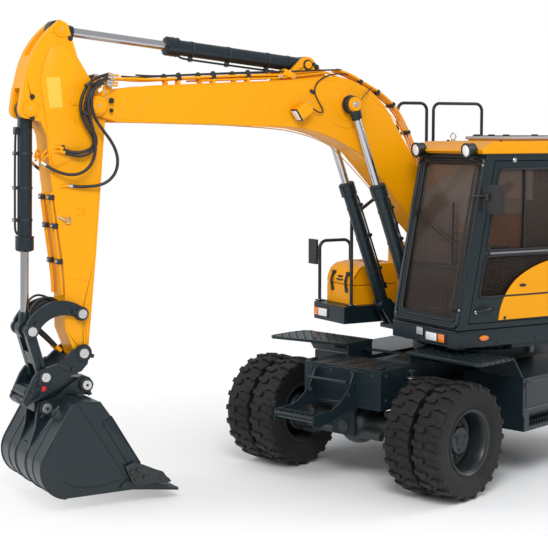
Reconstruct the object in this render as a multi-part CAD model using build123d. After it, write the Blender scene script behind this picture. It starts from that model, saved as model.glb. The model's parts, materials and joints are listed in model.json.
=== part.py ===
from build123d import *
import math
import os

# Wheeled excavator, millimetres. The ground is Z = 0 and the slewing axis is X = Y = 0.
# +X is the way the chassis drives and +Y is its left. The upper works are laid out in
# their own frame, straight ahead, and turned by slew_angle when they are written out.

slew_angle = -17.0

# ---- undercarriage sizes
tyre_radius = 518.0
tyre_half_width = 135.0
rim_radius = 258.0
rim_flange_radius = 292.0
lug_count = 23
lug_depth = 22.0
lug_half_width = 38.0
tread_half = 122.0
wall_radius = 480.0
bulge_radius = 430.0
front_axle_x = 1800.0
wheelbase = 2700.0
outer_wheel_y = 1111.0
inner_wheel_y = 802.0
kingpin_y = 600.0
beam_half_width = 330.0
beam_bottom = 760.0
beam_top = 1000.0
neck_half_width = 230.0
deck_top = 1185.0
deck_thickness = 25.0
ring_bottom = 1080.0
ring_top = 1200.0
ring_radius = 540.0
rear_axle_x = front_axle_x - wheelbase

# ---- upper works sizes
upper_bottom = 1250.0
deck_height = 1405.0
upper_half_width = 1240.0
tail_radius = 2130.0
weight_depth = 650.0
weight_front = weight_depth - tail_radius
boom_y = -150.0
plate = 20.0
wall = 25.0
pin_gap = 0.5

# ---- boom, arm and bucket geometry (x, z), each pivot in the straight-ahead frame
boom_foot = (-20.0, 1700.0)
boom_length = 4432.0
boom_angle = 22.6
boom_half_width = 165.0
fork_outer = 195.0
boom_cylinder_mount = (2120.0, 1000.0)
arm_cylinder_mount = (2630.0, 1180.0)
arm_length = 2115.0
arm_angle = -85.6
arm_half_width = 135.0
arm_rod_pin = (-610.0, 350.0)
bucket_cylinder_mount = (75.0, 580.0)
guide_pin = (arm_length - 340.0, 35.0)
link_pin = (arm_length - 185.0, 475.0)
boom_cylinder_foot = (820.0, 1450.0)
boom_cylinder_spread = 270.0
coupler_link_pin = (347.0, -178.0)
bucket_front_pin = (-30.0, -281.0)
bucket_rear_pin = (334.0, -448.0)
bucket_half_width = 500.0


def turned(origin, angle, point):
    """Place a point given along and across a member into the (x, z) plane."""
    c = math.cos(math.radians(angle))
    s = math.sin(math.radians(angle))
    return (origin[0] + point[0] * c - point[1] * s, origin[1] + point[0] * s + point[1] * c)


def on_boom(point):
    return turned(boom_foot, boom_angle, point)


boom_tip = on_boom((boom_length, 0.0))


def on_arm(point):
    return turned(boom_tip, arm_angle, point)


arm_end = on_arm((arm_length, 0.0))


def on_bucket(point):
    return (arm_end[0] + point[0], arm_end[1] + point[1])


# ---- shape helpers
def box(x0, x1, y0, y1, z0, z1):
    size = Box(x1 - x0, y1 - y0, z1 - z0, align=(Align.MIN, Align.MIN, Align.MIN))
    return Pos(x0, y0, z0) * size


def slab(points, y0, y1):
    """A plate whose (x, z) outline runs from y0 to y1."""
    outline = Polyline(*[(x, y0, z) for x, z in points], close=True)
    return extrude(make_face(outline), amount=y1 - y0, dir=(0, 1, 0))


def curved_slab(start, steps, y0, y1):
    """Like slab, with steps of one end point, or of a middle and an end point for an arc."""
    edges = []
    here = start
    for step in steps:
        if len(step) == 1:
            edges.append(Line((here[0], y0, here[1]), (step[0][0], y0, step[0][1])))
        else:
            mid, end = step
            edges.append(ThreePointArc((here[0], y0, here[1]), (mid[0], y0, mid[1]), (end[0], y0, end[1])))
        here = step[-1]
    if math.dist(here, start) > 0.01:
        edges.append(Line((here[0], y0, here[1]), (start[0], y0, start[1])))
    return extrude(make_face(edges), amount=y1 - y0, dir=(0, 1, 0))


def plan(points, z0, z1):
    """A plate whose (x, y) outline runs from z0 to z1."""
    outline = Polyline(*[(x, y, z0) for x, y in points], close=True)
    return extrude(make_face(outline), amount=z1 - z0, dir=(0, 0, 1))


def rod(start, end, radius):
    a = Vector(*start)
    b = Vector(*end)
    return Solid.make_cylinder(radius, (b - a).length, Plane(origin=a, z_dir=b - a))


def cross_pin(at, y0, y1, radius):
    return rod((at[0], y0, at[1]), (at[0], y1, at[1]), radius)


def tube(points, radius, bend):
    path = FilletPolyline(*points, radius=bend)
    return sweep(Plane(origin=path @ 0, z_dir=path % 0) * Circle(radius), path=path)


def both_sides(shape):
    return shape + mirror(shape, Plane.XZ)


def ring(inner, outer, y0, y1):
    """A ring about the Y axis."""
    return cross_pin((0, 0), y0, y1, outer) - cross_pin((0, 0), y0 - 1, y1 + 1, inner)


parts = {}
upper_parts = {}

# ---- chassis frame: a box beam, narrow over the axles so that the wheels can steer
frame = box(-1500, 1500, -beam_half_width, beam_half_width, beam_bottom, beam_top)
frame += box(1500, 2040, -neck_half_width, neck_half_width, beam_bottom + 20, beam_top)
frame += Pos(0, 0, beam_top) * Cylinder(ring_radius + 70, ring_bottom - beam_top, align=(Align.CENTER, Align.CENTER, Align.MIN))
for side in (-1, 1):
    y0, y1 = sorted((side * beam_half_width, side * 600))
    frame += box(-250, -150, y0, y1, 700, 860)
    frame += box(750, 850, y0, y1, 700, 860)
cradle_gap = 200.0
for x in (front_axle_x - cradle_gap - 35, front_axle_x + cradle_gap):
    cheek = box(x, x + 35, -130, 130, 440, beam_bottom + 20)
    frame += cheek - rod((x - 1, 0, tyre_radius), (x + 36, 0, tyre_radius), 60 + pin_gap)
for y in (-330, 230):
    frame += box(rear_axle_x - 110, rear_axle_x + 110, y, y + 100, tyre_radius + 95, beam_bottom)
frame += slab([(560, beam_top - 1), (1500, beam_top - 1), (1450, 1070), (700, 1150), (560, 1150)], 40, 300)
parts["chassis_frame"] = frame

# ---- slewing ring on the frame
parts["slew_ring"] = Pos(0, 0, ring_bottom) * (
    Cylinder(ring_radius, ring_top - ring_bottom, align=(Align.CENTER, Align.CENTER, Align.MIN))
    - Cylinder(ring_radius - 110, ring_top - ring_bottom, align=(Align.CENTER, Align.CENTER, Align.MIN)))

# ---- front step box with its ladder
box_front = 2060.0
box_half = 450.0
box_low = 716.0
box_high = 1076.0
nose = box(1560, box_front, -box_half, box_half, box_low, box_high)
nose -= box(1500, box_front - 20, -neck_half_width, neck_half_width, 600, beam_top)
nose -= box(1500, box_front - 20, -box_half + 20, -neck_half_width - 20, 600, box_high - 20)
nose -= box(1500, box_front - 20, neck_half_width + 20, box_half - 20, 600, box_high - 20)
step_sides = [(-290, -275), (165, 180)]
for y0, y1 in step_sides:
    nose += curved_slab((box_front, 1040), [((2110, 1030),), ((2220, 850), (2420, 740)), ((2640, 730),),
                                            ((2660, 640),), ((2560, 610),), ((2200, 700),), ((box_front, 700),)], y0, y1)
for y0, y1 in step_sides:
    nose -= rod((2180, y0 - 1, 850), (2180, y1 + 1, 850), 22)
nose += box(2560, 2640, -275, 165, 690, 720)
for number in range(7):
    nose += box(2575, 2625, -245 + 60 * number, -225 + 60 * number, 719, 730)
nose += box(1680, 1720, box_half - 1, box_half + 30, 850, 950)
nose += rod((1700, box_half + 70, 780), (1700, box_half + 70, 1000), 48)
nose += rod((1700, box_half + 70, 1000), (1700, box_half + 70, 1030), 20)
nose += cross_pin((2625, 690), -275, 165, 30)
nose += cross_pin((2190, 960), -275, 165, 15)
parts["front_step_box"] = nose

# ---- step decks over the front wheels, each on its pedestal
left_deck = plan([(1170, 360), (1150, 1150), (1180, 1250), (1660, 1250), (1700, 1200), (1570, 360)],
                 deck_top - deck_thickness, deck_top)
left_deck += box(1200, 1225, 360, 800, 1060, deck_top - deck_thickness)
left_deck += box(1180, 1540, 360, 380, beam_top, deck_top - deck_thickness)
left_deck += box(1180, 1540, 330, 380, beam_top - 60, beam_top)
left_deck += slab([(1182, deck_top - 3), (1170, deck_top), (1010, 985), (1022, 978)], 800, 1250)
decks = both_sides(left_deck)
decks += box(1300, 1330, -361, 361, 1100, 1112)
for number in range(17):
    decks += box(1300, 1330, -344 + 40 * number, -324 + 40 * number, 1111, 1122)
parts["decks"] = decks

# ---- side toolboxes between the wheels
side_box = slab([(-330, 480), (985, 480), (985, 600), (1010, 640), (1010, 970), (-330, 970)], 600, 1250)
side_box -= box(-250, 900, 1120, 1251, 520, 640)
side_box -= box(-290, 970, 1244, 1251, 680, 940) - box(-275, 955, 1243, 1252, 695, 925)
parts["side_toolboxes"] = both_sides(side_box)

# ---- rear cross beam with tow jaw
tail = box(-1760, -1500, -420, 420, 720, 1040)
tail += box(-1850, -1760, -80, 80, 790, 830) + box(-1850, -1760, -80, 80, 890, 930)
tail -= rod((-1810, 0, 789), (-1810, 0, 931), 20.5)
for y in (-400, 320):
    tail += box(-1790, -1759, y, y + 80, 900, 1010)
parts["rear_beam"] = tail

# ---- axle housings
def axle_housing(x, trunnion):
    shape = Pos(x, 0, tyre_radius) * Sphere(190)
    shape &= box(x - 185, x + 185, -150, 190, tyre_radius - 185, tyre_radius + 185)
    shape += rod((x, -520, tyre_radius), (x, 520, tyre_radius), 90)
    shape += rod((x - trunnion, 0, tyre_radius), (x + trunnion, 0, tyre_radius), 60)
    return shape


front_axle = axle_housing(front_axle_x, cradle_gap + 45)
for side in (-1, 1):
    y0, y1 = sorted((side * 500, side * (kingpin_y + 50)))
    for z in (tyre_radius - 165, tyre_radius + 125):
        front_axle += box(front_axle_x - 60, front_axle_x + 60, y0, y1, z, z + 40)
    y0, y1 = sorted((side * 500, side * 530))
    front_axle += box(front_axle_x - 60, front_axle_x + 60, y0, y1, tyre_radius - 165, tyre_radius + 165)
front_axle += rod((front_axle_x + 150, -380, tyre_radius - 60), (front_axle_x + 150, 380, tyre_radius - 60), 40)
parts["front_axle"] = front_axle

rear_axle = axle_housing(rear_axle_x, 200)
for side in (-1, 1):
    y0, y1 = sorted((side * 510, side * 640))
    rear_axle += rod((rear_axle_x, y0, tyre_radius), (rear_axle_x, y1, tyre_radius), 130)
rear_axle += box(rear_axle_x - 100, rear_axle_x + 100, -330, -230, tyre_radius - 60, tyre_radius + 95)
rear_axle += box(rear_axle_x - 100, rear_axle_x + 100, 230, 330, tyre_radius - 60, tyre_radius + 95)
parts["rear_axle"] = rear_axle

# ---- gearbox under the frame, with a shaft to each axle
shafts = box(150, 520, -170, 170, 470, beam_bottom)
shafts += rod((520, 0, tyre_radius), (front_axle_x - cradle_gap - 45, 0, tyre_radius), 40)
shafts += rod((150, 0, tyre_radius), (rear_axle_x + 200, 0, tyre_radius), 40)
parts["drive_train"] = shafts

# ---- steering knuckles
for name, side in (("left", 1), ("right", -1)):
    hub_face = kingpin_y + 90
    y0, y1 = sorted((side * kingpin_y, side * hub_face))
    knuckle = box(front_axle_x - 75, front_axle_x + 75, y0, y1, tyre_radius - 115, tyre_radius + 115)
    knuckle += rod((front_axle_x, side * kingpin_y, tyre_radius - 115), (front_axle_x, side * kingpin_y, tyre_radius + 115), 58)
    for z0, z1 in ((tyre_radius - 165, tyre_radius - 115), (tyre_radius + 115, tyre_radius + 165)):
        knuckle += rod((front_axle_x, side * kingpin_y, z0), (front_axle_x, side * kingpin_y, z1), 28)
    y0, y1 = sorted((side * hub_face, side * (hub_face + 18)))
    knuckle += rod((front_axle_x, y0, tyre_radius), (front_axle_x, y1, tyre_radius), 150)
    parts["knuckle_" + name] = knuckle
    for z in (tyre_radius - 165, tyre_radius + 125):
        parts["front_axle"] -= rod((front_axle_x, side * kingpin_y, z - 1), (front_axle_x, side * kingpin_y, z + 41), 28 + pin_gap)

# ---- twin wheels: two rims back to back on a hub drum, and their tyres
bead_half = 112.0


def revolved(points):
    """Turn a closed (y, radius) outline about the wheel's own axis, Y."""
    outline = Polyline(*[(0, y, r) for y, r in points], close=True)
    return revolve(make_face(outline), Axis.Y)


def facet_corners(radius):
    """Corners (x, z) of a loop with one flat for each lug."""
    turns = [math.radians(360 * (number + 0.5) / lug_count) for number in range(lug_count)]
    return [(radius * math.sin(turn), radius * math.cos(turn)) for turn in turns]


def flat_panels(rows):
    """A closed body of flat panels round the Y axis, between rows of (y, radius)."""
    loops = [[Vector(x, y, z) for x, z in facet_corners(radius)] for y, radius in rows]
    outlines = [loops[0], loops[-1]]
    for near, far in zip(loops, loops[1:]):
        outlines += [(near[number - 1], near[number], far[number], far[number - 1]) for number in range(lug_count)]
    return Solid(Shell([Face(Wire.make_polygon(outline)) for outline in outlines]))


def tread_outline():
    """Corners (x, z) of a tread band, four for each lug: up its side, along its top and down."""
    groove = tyre_radius - lug_depth
    half = math.degrees(lug_half_width / tyre_radius)
    corners = []
    for number in range(lug_count):
        middle = 360 * number / lug_count
        for turn, radius in ((-half - 1, groove), (-half, tyre_radius), (half, tyre_radius), (half + 1, groove)):
            angle = math.radians(middle + turn)
            corners.append((radius * math.sin(angle), radius * math.cos(angle)))
    return corners


def tyre_body(y):
    """A faceted carcass about the Y axis with a lugged tread band round it."""
    foot = rim_flange_radius / math.cos(math.pi / lug_count) + 1
    rows = [(-bead_half, foot), (-tyre_half_width, bulge_radius), (-tread_half, wall_radius)]
    rows += [(-across, radius) for across, radius in reversed(rows)]
    body = flat_panels([(y + across, radius) for across, radius in rows])
    body += slab(tread_outline(), y - tread_half, y + tread_half) - slab(facet_corners(wall_radius - 20), y - 150, y + 150)
    return body - slab(facet_corners(rim_radius / math.cos(math.pi / lug_count)), y - bead_half - 30, y + bead_half + 30)


def rim(y, disc_y):
    flange = bead_half + 12
    shape = revolved([(y - flange, rim_radius - 12), (y + flange, rim_radius - 12), (y + flange, rim_flange_radius),
                      (y + bead_half, rim_flange_radius), (y + bead_half, rim_radius), (y - bead_half, rim_radius),
                      (y - bead_half, rim_flange_radius), (y - flange, rim_flange_radius)])
    return shape + ring(170, rim_radius - 6, disc_y - 8, disc_y + 8)


twin_rims = rim(inner_wheel_y, inner_wheel_y + 100) + rim(outer_wheel_y, outer_wheel_y - 100)
twin_rims += cross_pin((0, 0), 713, 1090, 175)
twin_rims += cross_pin((0, 0), 1090, 1130, 120)
twin_tyres = tyre_body(inner_wheel_y) + tyre_body(outer_wheel_y)
for name, x, side in (("front_left", front_axle_x, 1), ("front_right", front_axle_x, -1),
                      ("rear_left", rear_axle_x, 1), ("rear_right", rear_axle_x, -1)):
    rims = twin_rims if side > 0 else mirror(twin_rims, Plane.XZ)
    tyres = twin_tyres if side > 0 else mirror(twin_tyres, Plane.XZ)
    parts["wheels_" + name] = Pos(x, 0, tyre_radius) * rims
    parts["tyres_" + name] = Pos(x, 0, tyre_radius) * tyres

# ---- upper frame: deck, boom foot cheeks and cylinder brackets
boom_foot_radius = 125.0
cheek_inner = 185.0
cheek_outer = 225.0
upper_frame = plan([(weight_front, -1200), (500, -1200), (500, -560), (760, -560), (760, 200), (1000, 200), (1000, 260),
                    (500, 560), (500, 1200), (weight_front, 1200)], ring_top + 5, upper_bottom)
for side in (-1, 1):
    y0, y1 = sorted((boom_y + side * cheek_inner, boom_y + side * cheek_outer))
    cheek = curved_slab((boom_foot[0] - boom_foot_radius, boom_foot[1]),
                        [((boom_foot[0], boom_foot[1] + boom_foot_radius), (boom_foot[0] + boom_foot_radius, boom_foot[1])),
                         ((700, upper_bottom),), ((-680, upper_bottom),)], y0, y1)
    upper_frame += cheek
    for lug in (boom_cylinder_spread - 75, boom_cylinder_spread + 35):
        y0, y1 = sorted((boom_y + side * lug, boom_y + side * (lug + 40)))
        upper_frame += curved_slab((boom_cylinder_foot[0] + 75, boom_cylinder_foot[1]),
                                   [((boom_cylinder_foot[0], boom_cylinder_foot[1] + 75),
                                     (boom_cylinder_foot[0] - 75, boom_cylinder_foot[1])),
                                    ((500, upper_bottom),), ((760, upper_bottom),)], y0, y1)
    y0, y1 = sorted((boom_y + side * (boom_cylinder_spread - 75), boom_y + side * (boom_cylinder_spread + 75)))
    upper_frame += cross_pin(boom_cylinder_foot, y0, y1, 35)
upper_frame += cross_pin(boom_foot, boom_y - 240, boom_y + 240, 45)
upper_parts["upper_frame"] = upper_frame

# ---- counterweight: a deep block with a tail round the slewing axis, its edges bevelled
weight_top = deck_height + 675
weight_bevel = 90.0
weight = box(-tail_radius - 10, weight_front, -upper_half_width, upper_half_width, upper_bottom, weight_top)
tail_shape = Pos(0, 0, upper_bottom) * Cone(tail_radius - 60, tail_radius, weight_bevel, align=(Align.CENTER, Align.CENTER, Align.MIN))
tail_shape += Pos(0, 0, upper_bottom + weight_bevel) * Cylinder(
    tail_radius, weight_top - upper_bottom - 2 * weight_bevel, align=(Align.CENTER, Align.CENTER, Align.MIN))
tail_shape += Pos(0, 0, weight_top - weight_bevel) * Cone(tail_radius, tail_radius - 60, weight_bevel,
                                                         align=(Align.CENTER, Align.CENTER, Align.MIN))
weight &= tail_shape
weight -= box(weight_front - 120, weight_front + 1, -1000, 1000, weight_top - 480, weight_top + 1)
for y in (-900, 740):
    weight -= box(-tail_radius - 10, -1900, y, y + 160, upper_bottom + 160, upper_bottom + 240)
upper_parts["counterweight"] = weight

# ---- engine behind the boom foot, with its housing and hood
housing_front = -700.0
housing_top = deck_height + 775
engine_front = housing_front - 120
upper_parts["engine_block"] = box(weight_front + 60, engine_front, -750, 250, upper_bottom + 50, housing_top - 230)
housing = box(weight_front, housing_front, -upper_half_width, upper_half_width, upper_bottom, housing_top)
housing -= box(weight_front + wall, housing_front - wall, -upper_half_width + wall, upper_half_width - wall,
               upper_bottom - 1, housing_top - wall)
housing -= box(weight_front + 80, engine_front + 40, -900, 800, housing_top - 80, housing_top + 20)
louvre_count = 9
for number in range(louvre_count):
    z = upper_bottom + 300 + 52 * number
    for face in (-upper_half_width, upper_half_width - 10):
        housing -= box(weight_front + 90, housing_front - 130, face, face + 10, z, z + 28)
upper_parts["engine_housing"] = housing
hood = box(weight_front + 70, engine_front + 50, -910, 810, housing_top + 6, housing_top + 25)
hood += box(weight_front + 90, engine_front + 30, -890, 790, housing_top - 20, housing_top + 6)
hood += box(weight_front + 150, engine_front - 10, -820, 720, housing_top + 25, housing_top + 110)
for number in range(10):
    y = -760 + 140 * number
    hood -= box(weight_front + 220, engine_front - 80, y, y + 60, housing_top + 98, housing_top + 111)
for y in (-640, 420):
    hood += box(engine_front + 30, engine_front + 68, y, y + 120, housing_top + 8, housing_top + 24)
    hood += rod((engine_front + 68, y, housing_top + 18), (engine_front + 68, y + 120, housing_top + 18), 14)
upper_parts["engine_hood"] = hood

# ---- exhaust stack beside the hood
exhaust_x = weight_front + 280
exhaust_y = -1060.0
stack = rod((exhaust_x, exhaust_y, housing_top), (exhaust_x, exhaust_y, housing_top + 60), 75)
stack += tube([(exhaust_x, exhaust_y, housing_top + 59), (exhaust_x, exhaust_y, housing_top + 330),
               (exhaust_x - 130, exhaust_y, housing_top + 420)], 45, 120)
upper_parts["exhaust_stack"] = stack

# ---- right-hand tanks behind the tool box
tank_top = deck_height + 595
tank_front = 200.0
tank = box(housing_front + 10, tank_front, -upper_half_width, -620, upper_bottom, tank_top)
tank -= box(-262, -254, -upper_half_width - 1, -upper_half_width + 8, upper_bottom + 60, tank_top - 50)
for x in (-480, -60):
    tank += rod((x, -800, tank_top - 1), (x, -800, tank_top + 55), 70)
upper_parts["tank_housing"] = tank

# ---- right-hand front platform, with lamps and treads
platform_front = 1170.0
platform = plan([(210, -1240), (1100, -1240), (platform_front, -1180), (platform_front, -600), (210, -600)],
                upper_bottom, deck_height + 20)
platform -= box(209, 1080, -1180, -660, upper_bottom - 1, deck_height)
upper_parts["right_platform"] = platform

# ---- tool box on the platform with a hinged cover
toolbox_back = 460.0
toolbox_front = 1010.0
toolbox_right = -1180.0
toolbox_left = -680.0
toolbox_split = deck_height + 215
toolbox_top = deck_height + 435
tool_box = box(toolbox_back, toolbox_front, toolbox_right, toolbox_left, deck_height + 20, toolbox_split)
tool_box -= box(toolbox_back + wall, toolbox_front - wall, toolbox_right + wall, toolbox_left - wall,
                deck_height + 20 + wall, toolbox_split + 1)
upper_parts["tool_box"] = tool_box
def lid_outline(inset, low):
    """The cover's outline: a bulging front that runs back into a flat top."""
    front = toolbox_front - inset
    top = toolbox_top - inset
    return (toolbox_back + inset, low), [((front, low),), ((front - 22, top - 105), (front - 110, top - 20)),
                                         ((front - 230, top),), ((toolbox_back + inset, top),)]


lid = curved_slab(*lid_outline(0, toolbox_split + 6), toolbox_right, toolbox_left)
lid -= curved_slab(*lid_outline(wall, toolbox_split + 5), toolbox_right + wall, toolbox_left - wall)
for y in (toolbox_right + 70, toolbox_left - 150):
    lid += box(toolbox_back - 12, toolbox_back + 1, y, y + 80, toolbox_split + 6, toolbox_split + 13)
    lid += rod((toolbox_back - 12, y, toolbox_split + 3), (toolbox_back - 12, y + 80, toolbox_split + 3), 10)
upper_parts["toolbox_lid"] = lid

# ---- handrails: a U at the front right, a tall pole, and two hoops behind the cab
rail = 17.0
platform_top = deck_height + 21
rails = tube([(1080, -1215, platform_top), (1080, -1215, platform_top + 625), (700, -1215, platform_top + 625),
              (700, -1215, platform_top)], rail, 80)
rails += tube([(1060, -640, platform_top), (1060, -640, 2330), (800, -640, 2500), (240, -640, 2450), (150, -640, 2300),
               (150, -640, tank_top + 1)], rail, 60)
hoop_top = 3490.0
rails += tube([(150, -1150, tank_top + 1), (150, -1150, hoop_top), (-230, -1150, hoop_top), (-230, -1150, tank_top + 1)], rail, 80)
rails += tube([(-320, -1150, tank_top + 1), (-320, -1150, hoop_top), (-980, -1150, hoop_top), (-980, -1150, housing_top + 1)],
              rail, 80)
upper_parts["handrails"] = rails

# ---- mirrors
mirrors = box(1070, 1095, -1420, -1262, 1800, 2060) + rod((1080, -1262, 1960), (1080, -1232, 1960), 10)
mirrors += box(870, 900, 1310, 1480, 2460, 2715)
mirrors += rod((885, 1241, 2600), (885, 1311, 2600), 12)
upper_parts["mirrors"] = mirrors

# ---- cab: hollow shell, its front leaning back
cab_left = 1240.0
cab_right = 237.0
cab_rear = -640.0
cab_wall = 60.0
sill = deck_height + 6
eaves = deck_height + 1580
waist = deck_height + 595
side_window_top = eaves - 105
front_foot = 1150.0
front_lean = 0.19


def windscreen_x(z):
    return front_foot - front_lean * (z - sill)


def cab_profile(inset):
    low = sill + inset
    return [(cab_rear + inset, low), (windscreen_x(low) - inset, low), (windscreen_x(eaves) - inset, eaves),
            (cab_rear + inset, eaves)]


cab = slab(cab_profile(0), cab_right, cab_left) - slab(cab_profile(cab_wall), cab_right + cab_wall, cab_left - cab_wall)
front_low = deck_height + 115
front_high = eaves - 85
screen = slab([(windscreen_x(front_low) - 150, front_low), (windscreen_x(front_low) + 60, front_low),
               (windscreen_x(front_high) + 60, front_high), (windscreen_x(front_high) - 150, front_high)],
              cab_right + 90, cab_left - 90)
cab -= screen
door_rear = -40.0
door_low = deck_height + 65
door_high = eaves - 65
door_margin = 110.0


def door_outline(grow):
    low = door_low - grow
    high = door_high + grow
    return [(door_rear - grow, low), (windscreen_x(low) - door_margin + grow, low),
            (windscreen_x(high) - door_margin + grow, high), (door_rear - grow, high)]


cab -= slab(door_outline(6), cab_left - cab_wall - 1, cab_left + 1)
cab -= box(cab_rear + 80, door_rear - 90, cab_left - cab_wall - 1, cab_left + 1, waist, side_window_top)
cab -= box(cab_rear + 80, 760, cab_right - 1, cab_right + cab_wall + 1, waist, side_window_top)
cab -= box(cab_rear - 1, cab_rear + cab_wall + 1, cab_right + 120, cab_left - 120, waist + 150, side_window_top)
upper_parts["cab_shell"] = cab

cab_base = box(cab_rear, front_foot + 10, cab_right, cab_left, upper_bottom, deck_height)
cab_base -= box(cab_rear + 30, front_foot - 30, cab_right + 30, cab_left - 30, upper_bottom - 1, deck_height - 30)
upper_parts["cab_base"] = cab_base

roof = slab([(cab_rear, eaves), (windscreen_x(eaves) + 40, eaves), (windscreen_x(eaves) + 50, eaves + 40),
             (windscreen_x(eaves) - 60, eaves + 110), (cab_rear + 60, eaves + 120), (cab_rear, eaves + 60)],
            cab_right, cab_left)
roof += slab([(windscreen_x(eaves) + 40, eaves + 8), (windscreen_x(eaves) + 95, eaves + 20), (windscreen_x(eaves) + 90, eaves + 38),
              (windscreen_x(eaves) + 30, eaves + 45)], cab_right + 190, cab_left - 190)
hatch_base = eaves + 95
roof += box(-330, 420, cab_right + 170, cab_left - 170, hatch_base, hatch_base + 55)
upper_parts["cab_roof"] = roof

# ---- grab rail up the front of the cab
rail_low = deck_height + 185
rail_high = eaves - 95
upper_parts["cab_grab_rail"] = tube(
    [(windscreen_x(rail_low) + 4, cab_left - 45, rail_low), (windscreen_x(rail_low) + 75, cab_left - 45, rail_low + 12),
     (windscreen_x(rail_high) + 75, cab_left - 45, rail_high - 12), (windscreen_x(rail_high) + 4, cab_left - 45, rail_high)],
    11, 25)

# ---- glass, set in the middle of each opening
glass = 6.0
windows = slab([(windscreen_x(front_low) - 30 - glass, front_low), (windscreen_x(front_low) - 30, front_low),
                (windscreen_x(front_high) - 30, front_high), (windscreen_x(front_high) - 30 - glass, front_high)],
               cab_right + 90, cab_left - 90)
windows += box(cab_rear + 80, door_rear - 90, cab_left - 33, cab_left - 27, waist, side_window_top)
windows += box(cab_rear + 80, 760, cab_right + 27, cab_right + 33, waist, side_window_top)
windows += box(cab_rear + 27, cab_rear + 33, cab_right + 120, cab_left - 120, waist + 150, side_window_top)
upper_parts["cab_glass"] = windows


def door_window(low, high, front_inset):
    return [(door_rear + 70, low), (windscreen_x(low) - door_margin - front_inset, low),
            (windscreen_x(high) - door_margin - front_inset, high), (door_rear + 70, high)]


upper_window = (deck_height + 715, door_high - 70, 60)
lower_window = (deck_height + 295, deck_height + 665, 60)
door = slab(door_outline(0), cab_left - cab_wall, cab_left)
panes = None
for window in (upper_window, lower_window):
    door -= slab(door_window(*window), cab_left - cab_wall - 1, cab_left + 1)
    pane = slab(door_window(*window), cab_left - 33, cab_left - 27)
    panes = pane if panes is None else panes + pane
upper_parts["cab_door"] = door
upper_parts["door_glass"] = panes

for low in (door_low + 130, door_high - 330):
    upper_parts["cab_door"] += box(door_rear - 3, door_rear + 8, cab_left - 1, cab_left + 22, low, low + 120)
    upper_parts["cab_door"] += rod((door_rear - 3, cab_left + 15, low), (door_rear - 3, cab_left + 15, low + 120), 12)

# ---- curved cover over the lower back corner of the door
cover_low = door_low + 12
cover_back = door_rear + 12
upper_parts["door_cover"] = curved_slab(
    (cover_back, cover_low),
    [((windscreen_x(cover_low) - door_margin - 330, cover_low),), ((620, door_low + 240), (485, door_low + 385)),
     ((320, door_low + 470), (110, door_low + 530)), ((cover_back, door_low + 535),)], cab_left, cab_left + 7)

# ---- seat and controls inside the cab
seat_y = (cab_left + cab_right) / 2
cab_floor = sill + cab_wall
seat = box(-250, 150, seat_y - 180, seat_y + 180, cab_floor, cab_floor + 250)
seat += box(-260, 260, seat_y - 250, seat_y + 250, cab_floor + 250, cab_floor + 380)
seat += slab([(-260, cab_floor + 380), (-120, cab_floor + 380), (-230, cab_floor + 1050), (-330, cab_floor + 1050)],
             seat_y - 230, seat_y + 230)
upper_parts["seat"] = seat
console = slab([(760, cab_floor), (860, cab_floor), (700, cab_floor + 620), (640, cab_floor + 600)], seat_y - 60, seat_y + 60)
console += rod((650, seat_y, cab_floor + 610), (690, seat_y, cab_floor + 640), 170)
console += box(-200, 300, seat_y - 400, seat_y - 290, cab_floor, cab_floor + 560)
console += box(-200, 300, seat_y + 290, seat_y + 400, cab_floor, cab_floor + 560)
upper_parts["controls"] = console

# ---- work lamps on the cab roof corners
lamps = rod((windscreen_x(eaves) + 60, cab_left - 120, eaves + 40), (windscreen_x(eaves) + 140, cab_left - 120, eaves + 30), 60)
lamps += rod((windscreen_x(eaves) + 60, cab_right + 120, eaves + 40), (windscreen_x(eaves) + 140, cab_right + 120, eaves + 30), 60)
upper_parts["work_lamps"] = lamps

# ---- boom
foot_boss = 120.0
tip_boss = 85.0
boom_crest = (2870.0, 920.0)
boom_neck = (boom_length - 387, 355.0)
boom_steps = [((boom_length + tip_boss, 0), (boom_length - 10, tip_boss)),
              ((boom_length - 132, 215),), (boom_neck,), (boom_crest,), ((2520, 1100),),
              ((2090, 1238), (1700, 1155)), ((1155, 800),), ((-60, 105),),
              ((-foot_boss, 0), (0, -foot_boss)), ((60, -105),), ((1785, 635),),
              ((2160, 655), (2700, 535)), ((boom_length - 477, 45),), ((boom_length - 232, -55),),
              ((boom_length - 10, -tip_boss),)]


def boom_slab(start, steps, y0, y1):
    placed = [tuple(on_boom(point) for point in step) for step in steps]
    return curved_slab(on_boom(start), placed, boom_y + y0, boom_y + y1)


def boom_point_pin(point, y0, y1, radius):
    return cross_pin(on_boom(point), boom_y + y0, boom_y + y1, radius)


boom = boom_slab((boom_length - 10, -tip_boss), boom_steps, -boom_half_width, boom_half_width)
fork_depth = 560.0
slot = boom_slab((boom_length + 200, -300), [((boom_length + 200, 400),), ((boom_length - fork_depth + 120, 400),),
                                              ((boom_length - fork_depth, -200),)], -arm_half_width - 8, arm_half_width + 8)
boom -= slot
for y0, y1 in ((-fork_outer, -arm_half_width - 8), (arm_half_width + 8, fork_outer)):
    boom += boom_point_pin((boom_length, 0), y0, y1, tip_boss)
boom += boom_point_pin((boom_length, 0), -fork_outer - 15, fork_outer + 15, 40)
boom -= boom_point_pin((0, 0), -boom_half_width - 1, boom_half_width + 1, 45 + pin_gap)
for y0, y1 in ((-120, -78), (78, 120)):
    boom += boom_slab((2300, 1130), [((2560, 1230),), ((2630, 1255), (2700, 1220)), ((2850, 900),), ((2400, 1000),)], y0, y1)
boom += boom_point_pin(arm_cylinder_mount, -135, 135, 35)
for y0, y1 in ((-boom_cylinder_spread + 50, -boom_half_width), (boom_half_width, boom_cylinder_spread - 50)):
    boom += boom_point_pin(boom_cylinder_mount, y0, y1, 80)
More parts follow.
